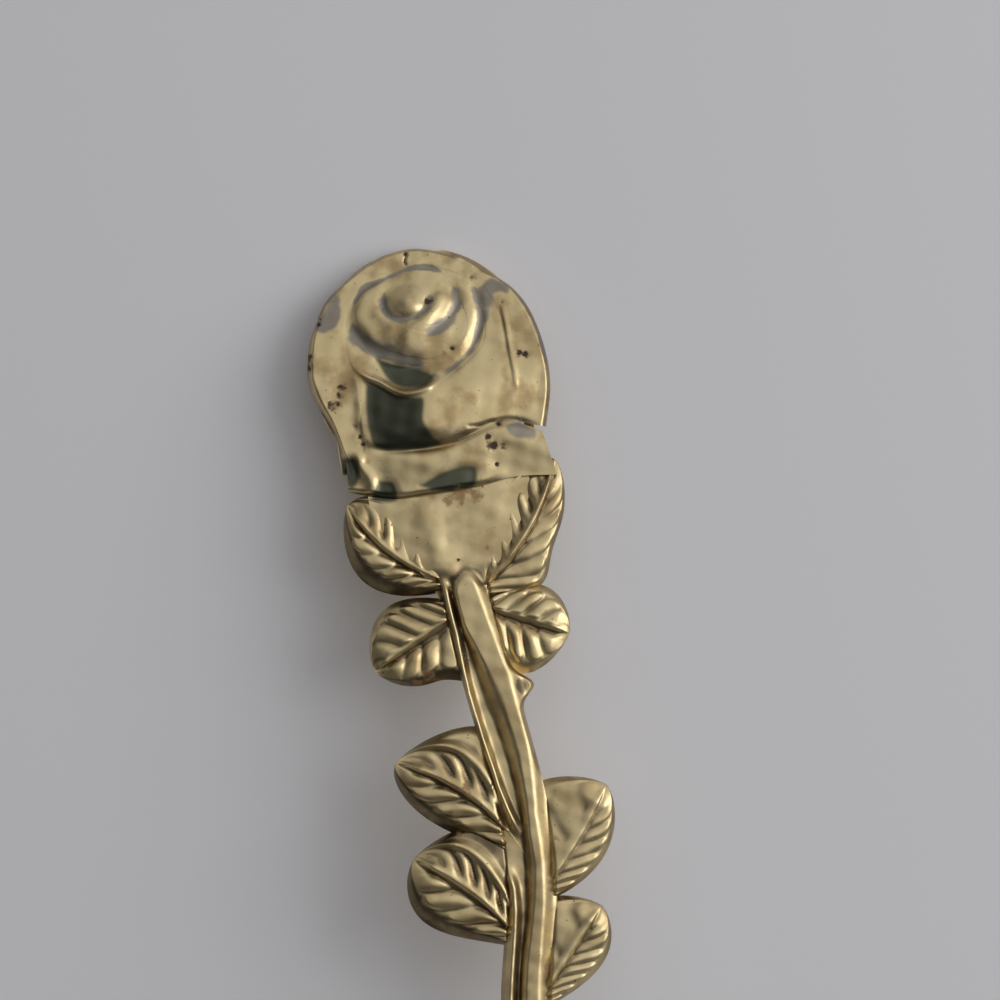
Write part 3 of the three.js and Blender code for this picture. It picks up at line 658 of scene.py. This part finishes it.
# Leaves: midribs and outlines in leaf lengths, as in the solids, heights in millimetres. Other values are
# shares of the way from the root to the tip, or from the midrib to the edge.
LEAF_LENGTH = 10
LEAF_GROUND = 0.85
LEAF_CROWN = 0.3
LEAF_FULLNESS = 0.6
LEAF_END_WIDTH = 0.12
LEAF_FOOT_PLACE = 0.3
LEAF_FOOT_SPREAD = 0.18
LEAF_FLOOR = 0.04
LEAF_TIP = (0.85, 1)  # stretch in which the leaf flattens towards its tip
LEAF_STEPS, LEAF_COLUMNS = 180, 96
LOBE_SLANT = 0.26
LOBE_SCALLOP = 0.12
SCALLOPED_END = (0.45, 0.6)  # lobes that end further out than this are scalloped
LOBE_START, LOBE_END_SOFTNESS = (0.06, 0.18), 0.06
LOBE_ROOT, LOBE_TIP = (0.02, 0.1), (0.78, 0.95)
LOBE_UNEVENNESS, LOBE_UNEVEN_PACE = 0.2, 2.3
VALLEY_ROUNDNESS = 0.06
UPPER_FLANGE = 0.8  # share of the half width where the upper edge starts to fall
FLANGE_END = 1.1
EDGE_FALL = 0.5
SHOULDER_TOP = 0.9
ROOT_RISE_END = 0.8
ROOT_SINK, ROOT_SINK_WIDTH = 0.6, 0.6  # under the stem
# Painted shade on a left leaf's lower flange, which slopes away from the light
FLANGE_PAINTED_SHADE = 1
FLANGE_PAINTED_SHADE_EDGE = (-0.12, 0.04)  # from the ends of the lobes
# Darker ground between the upper lobes
FIELD_DARKENING = 0.75
FIELD_START, FIELD_SOFTNESS = (0.08, 0.14), 0.04
MIDRIB_WIDTH = 0.11  # of the half width
MIDRIB_PLACE, GROOVE_PLACE = 0.03, -0.1


class Midrib(NamedTuple):
    at: float  # from the rose to the root
    reach: float  # from the root to the tip, sideways
    rise: float  # and towards the rose
    bend: float
    height: float
    groove: float  # depth of the line along its lower side


class Outline(NamedTuple):
    upper: float
    lower: float
    widest: float
    foot: float = 0  # widens the lower half near the stem


class Lobes(NamedTuple):
    count: int
    height: float
    sharpness: float
    end: float  # share of the half width
    slant: float = LOBE_SLANT  # towards the tip, from the midrib to the edge


class Border(NamedTuple):
    """A raised band on the upper half, at shares of its width."""

    start: float  # at the root
    rise: float  # from there to the tip
    power: float  # how late it rises
    outside: float  # painted shade on the flange beyond it


class Leaf(NamedTuple):
    side: int
    midrib: Midrib
    outline: Outline
    upper: Lobes
    lower: Lobes
    shoulder: float = 0  # rise of the upper half towards the plate beside it
    root: float = 0  # rise towards the stem


LEAVES = {
    "leaf_1_left": Leaf(
        -1, Midrib(0.61, 0.66, 0.62, -0.1, 0.3, 0.2), Outline(0.31, 0.25, 1.3),
        Lobes(8, 0.22, 0.9, 0.6), Lobes(7, 0.2, 0.5, 0.6), shoulder=0.3,
    ),
    "leaf_1_right": Leaf(
        1, Midrib(0.7, 0.7, 0.79, -0.1, 0.45, 0.05), Outline(0.31, 0.17, 1.35, 0.14),
        Lobes(8, 0.22, 0.9, 0.55), Lobes(7, 0.16, 0.5, 0.85), shoulder=0.3,
    ),
    "leaf_2_left": Leaf(
        -1, Midrib(0.75, 0.66, -0.31, 0, 0.15, 0.25), Outline(0.29, 0.27, 1.3, 0.19),
        Lobes(6, 0.24, 0.8, 0.85), Lobes(6, 0.2, 0.5, 0.75),
    ),
    "leaf_2_right": Leaf(
        1, Midrib(0.72, 0.61, -0.3, 0, 0.1, 0.25), Outline(0.24, 0.34, 1.5),
        Lobes(6, 0.2, 0.6, 0.8), Lobes(6, 0.22, 0.6, 0.75),
    ),
    "leaf_3_left": Leaf(
        -1, Midrib(2.42, 0.74, 0.76, 0.11, 0.5, 0.15), Outline(0.44, 0.27, 1.4),
        Lobes(8, 0.26, 1.2, 0.44, 0.5), Lobes(6, 0.26, 0.5, 0.7, 0.3),
    ),
    "leaf_3_right": Leaf(
        1, Midrib(2.68, 0.59, 0.67, -0.03, 0.18, 0.05), Outline(0.46, 0.2, 1.2),
        Lobes(4, 0.08, 0.8, 0.7), Lobes(8, 0.14, 0.6, 0.8), root=0.25,
    ),
    "leaf_4_left": Leaf(
        -1, Midrib(2.96, 0.63, 0.68, 0.06, 0.5, 0.15), Outline(0.43, 0.33, 1.6),
        Lobes(8, 0.26, 1.2, 0.44, 0.5), Lobes(5, 0.26, 0.5, 0.7, 0.36),
    ),
    "leaf_4_right": Leaf(
        1, Midrib(3.39, 0.58, 0.63, 0, 0.25, 0.1), Outline(0.38, 0.21, 1.6),
        Lobes(4, 0.08, 0.8, 0.7), Lobes(9, 0.14, 0.6, 0.8), root=0.25,
    ),
}
BORDERS = {
    "leaf_3_left": Border(0.235, 0.57, 2, 0),
    "leaf_4_left": Border(0.43, 0.34, 4, 1),
}
BORDER_WIDTH, BORDER_RISE, BORDER_INSET = 0.1, 0.42, 0.11
# Softness of the painted shade on the flange beyond a border
BORDER_PAINTED_SHADE_SOFTNESS = 0.1


def lobe_wave(lobes, s, across):
    """1 along each lobe's back, 0 between two lobes; they lean towards the leaf's tip."""
    square = np.sin(math.pi * lobes.count * (s - lobes.slant * across)) ** 2
    power = lobes.sharpness / 2
    lowest, highest = VALLEY_ROUNDNESS**power, (1 + VALLEY_ROUNDNESS) ** power
    return ((square + VALLEY_ROUNDNESS) ** power - lowest) / (highest - lowest)


def lobe_relief(lobes, s, across, end):
    """Finger-like lobes that end in scallops, not all of the same height."""
    wave = lobe_wave(lobes, s, across)
    end = end - LOBE_SCALLOP * (1 - wave) * smooth(lobes.end, *SCALLOPED_END)
    field = 1 - smooth(across, end - LOBE_END_SOFTNESS, end + LOBE_END_SOFTNESS)
    field = field * smooth(across, *LOBE_START) * smooth(s, *LOBE_ROOT) * (1 - smooth(s, *LOBE_TIP))
    uneven = 1 - LOBE_UNEVENNESS + LOBE_UNEVENNESS * np.sin(lobes.count * (LOBE_UNEVEN_PACE * s + 1))
    return lobes.height * uneven * wave * field


def leaf(name):
    side, midrib, outline, upper, lower, shoulder, root_rise = LEAVES[name]
    border = BORDERS.get(name)
    root = ROSE_LENGTH + midrib.at * LEAF_LENGTH
    length = math.hypot(midrib.reach, midrib.rise)
    outward, forward = midrib.reach / length, midrib.rise / length

    def plan(s, t):
        full = np.maximum(0, np.sin(math.pi * s**outline.widest)) ** LEAF_FULLNESS
        widened = outline.foot * bell((s - LEAF_FOOT_PLACE) / LEAF_FOOT_SPREAD)
        half = np.where(t > 0, outline.upper * full, outline.lower * full + widened)
        half = np.maximum(LEAF_END_WIDTH, half * LEAF_LENGTH)
        far = s * length * LEAF_LENGTH
        off = midrib.bend * LEAF_LENGTH * 4 * s * (1 - s) + t * half
        sideways = outward * far - forward * off
        return stem_middle(root) + side * sideways, root - (forward * far + outward * off)

    def border_place(s):
        return border.start + border.rise * s**border.power

    def upper_end(s):
        return np.minimum(upper.end, border_place(s) - BORDER_INSET) if border else upper.end

    def height(s, t, x, d):
        across = np.abs(t)
        tip = 1 - smooth(s, *LEAF_TIP)
        body = LEAF_GROUND + LEAF_CROWN * (1 - t * t) * tip + root_rise * (1 - smooth(s, 0, ROOT_RISE_END))
        upper_lobes = lobe_relief(upper, s, across, upper_end(s))
        lower_lobes = lobe_relief(lower, s, across, lower.end)
        body = body + np.where(t > 0, upper_lobes, lower_lobes)
        body = body + tip * midrib.height * bell((t - MIDRIB_PLACE) / MIDRIB_WIDTH)
        body = body - tip * midrib.groove * bell((t - GROOVE_PLACE) / MIDRIB_WIDTH)
        body = body + shoulder * smooth(t, upper.end, SHOULDER_TOP)
        if border:
            body = body + BORDER_RISE * bell((t - border_place(s)) / BORDER_WIDTH) * tip
        flange = np.where(t > 0, UPPER_FLANGE, lower.end)
        from_stem = np.abs(x - stem_middle(d)) - STEM_WIDTH / 2
        under_stem = 1 - smooth(from_stem, -ROOT_SINK_WIDTH, 0)
        return body - EDGE_FALL * smooth(across, flange, FLANGE_END) - ROOT_SINK * under_stem

    def dirt_and_shade(s, t):
        """Dark: painted shade on a left leaf's lower flange and on a flange beyond a border, and a darker
        ground between upper lobes.
        """
        # Painted shade on the flanges
        dark = FLANGE_PAINTED_SHADE if side < 0 else 0
        flange = dark * smooth(-t - lower.end, *FLANGE_PAINTED_SHADE_EDGE)
        ground = 1 - lobe_wave(upper, s, np.abs(t))
        past_end = smooth(t - upper_end(s), -FIELD_SOFTNESS, FIELD_SOFTNESS)
        field = FIELD_DARKENING * smooth(t, *FIELD_START) * (1 - past_end)
        if border:
            beyond = t - border_place(s) - BORDER_WIDTH
            flange = np.maximum(flange, border.outside * smooth(beyond, 0, BORDER_PAINTED_SHADE_SOFTNESS))
        return np.maximum(flange, ground * field)

    return relief(name, plan, height, LEAF_FLOOR, LEAF_STEPS, LEAF_COLUMNS, dirt_and_shade)


# Bowl
BOWL_WIDTH = 23
BOWL_WALL = 1
BOWL_DEPTH = RIM_HEIGHT - BOWL_WALL
BOWL_TAPER = 0.12
BOWL_STEEPNESS = 2.2
FOOT_RADIUS = 3.2
BOWL_SEGMENTS, BOWL_RINGS, RIM_RINGS = 128, 36, 9
RIM_ROUNDNESS = 0.25
BOWL_INNERMOST, BOWL_OUTERMOST = 0.02, 0.99  # shares of the bowl's outline at its first and last rings
RIM_TURN = (0.05, 0.95)
TANG_LENGTH = 8
TANG_WIDTH, TANG_END_WIDTH = 3.4, 1.6
TANG_THICKNESS, TANG_END_THICKNESS = 1.2, 0.4
TANG_ROUNDNESS = 0.35
TANG_END = (-0.3, 0.1)  # stretch in which its end thins out
TANG_STEPS, TANG_COLUMNS = 40, 24


def bowl_ring(inset, share, z):
    angle = np.linspace(0, 2 * math.pi, BOWL_SEGMENTS, endpoint=False)
    x = (BOWL_WIDTH / 2 - inset) * np.sin(angle) * (1 - BOWL_TAPER * np.cos(angle))
    y = (BOWL_LENGTH / 2 - inset) * np.cos(angle)
    return np.stack([x * share, y * share, np.full(BOWL_SEGMENTS, z)], -1) * MM


def bowl():
    foot = 2 * FOOT_RADIUS / BOWL_WIDTH
    rings = []
    for share in np.linspace(BOWL_INNERMOST, BOWL_OUTERMOST, BOWL_RINGS):
        rings.append(bowl_ring(BOWL_WALL, share, BOWL_WALL + BOWL_DEPTH * share**BOWL_STEEPNESS))
    for turn in np.linspace(*RIM_TURN, RIM_RINGS):
        rim = RIM_HEIGHT - RIM_ROUNDNESS * (2 * turn - 1) ** 2
        rings.append(bowl_ring(BOWL_WALL * (1 - turn), 1, rim))
    for share in np.linspace(BOWL_OUTERMOST, foot, BOWL_RINGS):
        rise = (share**BOWL_STEEPNESS - foot**BOWL_STEEPNESS) / (1 - foot**BOWL_STEEPNESS)
        rings.append(bowl_ring(0, share, RIM_HEIGHT * rise))
    count = BOWL_SEGMENTS
    faces = [list(range(count)), list(range((len(rings) - 1) * count, len(rings) * count))]
    for r in range(len(rings) - 1):
        for k in range(count):
            after = (k + 1) % count
            faces.append((r * count + k, r * count + after, (r + 1) * count + after, (r + 1) * count + k))
    return joined(mesh_object("bowl", np.vstack(rings), faces, {}), tang())


def tang():
    """The tongue at the bowl's back that the stem lies on, rounded underneath."""

    def plan(s, t):
        d = HANDLE_LENGTH + BOWL_WALL / 2 - s * TANG_LENGTH
        return t * mix(TANG_WIDTH, TANG_END_WIDTH, s * s) / 2, d

    def underside(s, t, x, d):
        thickness = mix(TANG_THICKNESS, TANG_END_THICKNESS, s)
        return -SEAM_GAP - thickness * (1 - TANG_ROUNDNESS * t**4) * smooth(1 - s, *TANG_END)

    return relief("tang", plan, underside, -SEAM_GAP, TANG_STEPS, TANG_COLUMNS)


def joined(piece, other):
    """The first piece with the other one joined to it as one body."""
    union = piece.modifiers.new("union", "BOOLEAN")
    union.operation = "UNION"
    union.solver = "EXACT"
    union.object = other
    evaluated = piece.evaluated_get(bpy.context.evaluated_depsgraph_get())
    whole = bpy.data.meshes.new_from_object(evaluated)
    piece.modifiers.clear()
    piece.data = whole
    whole.set_sharp_from_angle(angle=SHARP_ANGLE)
    bpy.data.objects.remove(other)
    return piece


# Gilding
GOLD, GOLD_SHADE, STAIN = (0.84, 0.68, 0.38), (0.74, 0.59, 0.32), (0.44, 0.3, 0.14)
# In the row that starts with GREY, the last colour is painted shade and painted dark reflection for the
# rose's dark patches
# In the row that starts with GREY, the second colour is dirt and painted shade for grooves, recesses and leaf
# flanges
GREY, DIRT_AND_SHADE_COLOUR, PAINTED_SHADE_PATCH_COLOUR = (0.27, 0.25, 0.23), (0.16, 0.12, 0.075), (0.11, 0.115, 0.08)
SPECK, RUSTY, PITTED = (0.16, 0.1, 0.05), (0.36, 0.19, 0.075), (0.05, 0.032, 0.02)
# Painted shade and painted dark reflection on steep sides
STEEP_SIDE_SHADE = (0.2, 0.15, 0.09)
# Grain of the noise behind each layer, in waves per metre, and the noise's detail where it isn't the usual
TINT_GRAIN, STAIN_GRAIN, STEEP_GRAIN, WORN_GRAIN, DIRT_AND_SHADE_GRAIN = 260, 450, 520, 600, 700
FINISH_GRAIN, BUMP_GRAIN, RUST_GRAIN, PIT_GRAIN, SPECK_GRAIN = 1100, 1800, 2200, 2600, 2600
USUAL_DETAIL, STAIN_DETAIL, SPECK_DETAIL = 4, 8, 2
# Values between which each layer comes in
TINT_SPAN, STAIN_SPAN, SPECK_SPAN = (0.35, 0.65), (0.46, 0.66), (0.71, 0.77)
WORN_SPAN, PIT_SPAN, RUST_SPAN = (0.3, 1), (0.4, 0.9), (0.35, 1.2)
HOLLOW_SPAN, DIRT_AND_SHADE_SPAN, DIRT_AND_SHADE_COVER = (0.2, 1), (0.3, 0.6), (0.65, 0.95)
UPRIGHT_SPAN, STEEP_SPAN, STEEP_COVER = (0.9, 0.5), (0.35, 0.6), (0.5, 1)
# How far the layers cover what is under them, and how dull they are
WORN_COVER, RUST_COVER, SPECK_COVER = 0.85, 0.75, 0.8
WORN_DULLNESS, DIRT_DULLNESS = 0.1, 0.35
RAGGEDNESS = 2
MIX_FIRST, MIX_SECOND, MIX_RESULT = 6, 7, 2  # colour sockets of a mix node
FINISH_SPAN, FINISH_SPREAD = (0.3, 0.7), (-0.04, 0.06)  # the roughness varies by this much
BUMP_STRENGTH, BUMP_HEIGHT = 0.4, 0.03


def gilt(name, roughness, stained, steep_side_shade_strength):
    material = bpy.data.materials.new(name)
    material.use_nodes = True
    tree = material.node_tree
    add, link = tree.nodes.new, tree.links.new
    shader = tree.nodes["Principled BSDF"]
    coordinates = add("ShaderNodeTexCoord")
    place = coordinates.outputs["Object"]
    facing = add("ShaderNodeSeparateXYZ")
    link(coordinates.outputs["Normal"], facing.inputs[0])

    def noise(scale, detail=USUAL_DETAIL):
        texture = add("ShaderNodeTexNoise")
        texture.inputs["Scale"].default_value = scale
        texture.inputs["Detail"].default_value = detail
        link(place, texture.inputs["Vector"])
        return texture.outputs["Fac"]

    def mark(kind):
        attribute = add("ShaderNodeAttribute")
        attribute.attribute_name = kind
        return attribute.outputs["Fac"]

    def maths(operation, a, b):
        step = add("ShaderNodeMath")
        step.operation = operation
        for socket, value in zip(step.inputs, (a, b)):
            if isinstance(value, (int, float)):
                socket.default_value = value
            else:
                link(value, socket)
        return step.outputs[0]

    def ramp(value, low, high, to_low=0, to_high=1):
        step = add("ShaderNodeMapRange")
        step.interpolation_type = "SMOOTHSTEP"
        for key, number in (("From Min", low), ("From Max", high), ("To Min", to_low), ("To Max", to_high)):
            step.inputs[key].default_value = number
        link(value, step.inputs["Value"])
        return step.outputs["Result"]

    def blend(share, a, b):
        step = add("ShaderNodeMix")
        step.data_type = "RGBA"
        link(share, step.inputs["Factor"])
        for socket, value in ((step.inputs[MIX_FIRST], a), (step.inputs[MIX_SECOND], b)):
            if isinstance(value, tuple):
                socket.default_value = (*value, 1)
            else:
                link(value, socket)
        return step.outputs[MIX_RESULT]

    def ragged(kind, scale, low, high):
        """A mark with its edge broken up."""
        stray = maths("MULTIPLY", maths("SUBTRACT", noise(scale), 0.5), RAGGEDNESS)
        return ramp(maths("ADD", mark(kind), stray), low, high)

    worn = ramp(ragged("worn", WORN_GRAIN, *WORN_SPAN), 0, 1, 0, WORN_COVER)
    # Painted shade and painted dark reflection on the rose's dark patches
    painted_shade_patch = ramp(mark("painted_shade_patch"), 0, 1)
    pit = ragged("pit", PIT_GRAIN, *PIT_SPAN)
    rust = ramp(ragged("rust", RUST_GRAIN, *RUST_SPAN), 0, 1, 0, RUST_COVER)
    stain = ramp(noise(STAIN_GRAIN, STAIN_DETAIL), *STAIN_SPAN, 0, stained)
    # Dirt and painted shade in grooves and recesses, and painted shade on the leaves' flanges
    dirt_and_shade_amount = ramp(noise(DIRT_AND_SHADE_GRAIN), *DIRT_AND_SHADE_SPAN, *DIRT_AND_SHADE_COVER)
    dirt_and_shade = maths("MULTIPLY", ramp(mark("dirt_and_shade_mark"), *HOLLOW_SPAN), dirt_and_shade_amount)
    specks = ramp(noise(SPECK_GRAIN, SPECK_DETAIL), *SPECK_SPAN, 0, SPECK_COVER)
    # Steep sides, found from the normal, get painted shade and painted dark reflection
    upright = maths("ABSOLUTE", facing.outputs["Z"], 0)
    steep_side_shade_cover = ramp(noise(STEEP_GRAIN), *STEEP_SPAN, *STEEP_COVER)
    steep_side_shade_share = maths("MULTIPLY", ramp(upright, *UPRIGHT_SPAN, 0, steep_side_shade_strength), steep_side_shade_cover)

    colour = blend(ramp(noise(TINT_GRAIN), *TINT_SPAN), GOLD_SHADE, GOLD)
    for share, over in (
        (stain, STAIN), (steep_side_shade_share, STEEP_SIDE_SHADE), (dirt_and_shade, DIRT_AND_SHADE_COLOUR), (worn, GREY), (painted_shade_patch, PAINTED_SHADE_PATCH_COLOUR), (specks, SPECK),
        (rust, RUSTY), (pit, PITTED),
    ):
        colour = blend(share, colour, over)
    link(colour, shader.inputs["Base Color"])

    dirt = maths("MAXIMUM", pit, rust)
    dull = maths("ADD", maths("MULTIPLY", worn, WORN_DULLNESS), maths("MULTIPLY", dirt, DIRT_DULLNESS))
    smoothest, roughest = (roughness + spread for spread in FINISH_SPREAD)
    finish = ramp(noise(FINISH_GRAIN), *FINISH_SPAN, smoothest, roughest)
    link(maths("ADD", finish, dull), shader.inputs["Roughness"])
    link(maths("SUBTRACT", 1, dirt), shader.inputs["Metallic"])

    bump = add("ShaderNodeBump")
    bump.inputs["Strength"].default_value = BUMP_STRENGTH
    bump.inputs["Distance"].default_value = BUMP_HEIGHT * MM
    link(noise(BUMP_GRAIN), bump.inputs["Height"])
    link(bump.outputs["Normal"], shader.inputs["Normal"])
    return material


# Each slot's roughness, how strong its stains are, and how much painted shade and painted dark reflection
# darken its steep sides
LOOKS = {
    "gilt_bowl": (0.28, 0.45, 0.1),
    "gilt_stem": (0.36, 0.5, 0.7),
    "gilt_base": (0.32, 0.75, 0.7),
    "gilt_petal": (0.31, 0.75, 0.7),
    "gilt_leaf": (0.35, 0.5, 0.8),
}
MATERIALS = {slot: gilt(slot, *look) for slot, look in LOOKS.items()}


def put(piece, node, slot):
    piece.data.materials.append(MATERIALS[slot])
    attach(piece, "root")
    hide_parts(node)


for petal_name in PETALS:
    put(petal(petal_name), petal_name, "gilt_petal")
put(rose_heart(), "rose_heart", "gilt_petal")
put(rose_base(), "rose_base", "gilt_base")
put(stem(), "stem", "gilt_stem")
for leaf_name in LEAVES:
    put(leaf(leaf_name), leaf_name, "gilt_leaf")
put(bowl(), "bowl", "gilt_bowl")

# Stage
PAPER = (0.93, 0.925, 0.96, 1)
PAPER_ROUGHNESS = 0.9
FLOOR_SIZE = 6
paper = bpy.data.materials.new("paper")
paper.use_nodes = True
paper_shader = paper.node_tree.nodes["Principled BSDF"]
paper_shader.inputs["Base Color"].default_value = PAPER
paper_shader.inputs["Roughness"].default_value = PAPER_ROUGHNESS
bpy.ops.mesh.primitive_plane_add(size=FLOOR_SIZE, location=(0, 0, 0))
floor = bpy.context.object
floor.name = "floor"
floor.data.materials.append(paper)

# Camera: straight above the handle, turned so that the rose leans to the left
LEAN = math.radians(9.2)
PICTURE_WIDTH = 64.5
CAMERA_DISTANCE = 300
SENSOR = 36
PICTURE_MIDDLE = Vector((3.12, TIP_Y - 17.04, 3.5)) * MM
picture_up = Vector((math.sin(LEAN), math.cos(LEAN), 0))
picture_right = Vector((math.cos(LEAN), -math.sin(LEAN), 0))
camera_data = bpy.data.cameras.new("camera")
camera_data.sensor_width = SENSOR
camera_data.lens = SENSOR * CAMERA_DISTANCE / PICTURE_WIDTH
camera = bpy.data.objects.new("camera", camera_data)
bpy.context.scene.collection.objects.link(camera)
axes = Matrix((picture_right, picture_up, (0, 0, 1))).transposed()
above = PICTURE_MIDDLE + Vector((0, 0, CAMERA_DISTANCE * MM))
camera.matrix_world = Matrix.Translation(above) @ axes.to_4x4()
bpy.context.scene.camera = camera

# Light: a lamp from the right, and a sky that is bright at the upper right and dark at the lower left. Each
# place is how far it lies to the picture's right, up the picture and above the table.
LAMP_PLACE, LAMP_DISTANCE = (0.8, 0.2, 0.62), 0.4
LAMP_SIZE, LAMP_ENERGY = 0.3, 0.46
SKY_PLACE = (0.45, 0.6, 0.66)
SKY = [(0.25, 0.07), (0.42, 0.14), (0.54, 0.25), (0.63, 0.38), (0.72, 0.49), (0.86, 0.57), (1, 0.66)]
HORIZON, HORIZON_BAND = 0.35, (0.15, 0.4)  # low light around the table, and the heights where it fades


def towards(right, up, high):
    return (picture_right * right + picture_up * up + Vector((0, 0, high))).normalized()


lamp_data = bpy.data.lights.new("softbox", "AREA")
lamp_data.shape = "SQUARE"
lamp_data.size = LAMP_SIZE
lamp_data.energy = LAMP_ENERGY
lamp = bpy.data.objects.new("softbox", lamp_data)
bpy.context.scene.collection.objects.link(lamp)
lamp_side = towards(*LAMP_PLACE)
lamp.location = PICTURE_MIDDLE + lamp_side * LAMP_DISTANCE
lamp.rotation_euler = lamp_side.to_track_quat("Z", "Y").to_euler()

world = bpy.data.worlds.new("studio")
bpy.context.scene.world = world
world.use_nodes = True
nodes, links = world.node_tree.nodes, world.node_tree.links
direction = nodes.new("ShaderNodeTexCoord").outputs["Generated"]
nearness = nodes.new("ShaderNodeVectorMath")
nearness.operation = "DOT_PRODUCT"
nearness.inputs[1].default_value = towards(*SKY_PLACE)
links.new(direction, nearness.inputs[0])
sky = nodes.new("ShaderNodeValToRGB")
links.new(nearness.outputs["Value"], sky.inputs["Fac"])
stops = sky.color_ramp.elements
while len(stops) < len(SKY):
    stops.new(0.5)
for stop, (position, level) in zip(stops, SKY):
    stop.position = position
    stop.color = (level, level, level, 1)
split = nodes.new("ShaderNodeSeparateXYZ")
links.new(direction, split.inputs[0])
horizon = nodes.new("ShaderNodeMapRange")
for key, number in zip(("From Min", "From Max", "To Min", "To Max"), (*HORIZON_BAND, HORIZON, 0)):
    horizon.inputs[key].default_value = number
links.new(split.outputs["Z"], horizon.inputs["Value"])
strength = nodes.new("ShaderNodeMath")
strength.operation = "MAXIMUM"
links.new(sky.outputs["Color"], strength.inputs[0])
links.new(horizon.outputs["Result"], strength.inputs[1])
nodes["Background"].inputs["Color"].default_value = (1, 1, 1, 1)
links.new(strength.outputs[0], nodes["Background"].inputs["Strength"])

bpy.context.scene.view_settings.view_transform = "Standard"
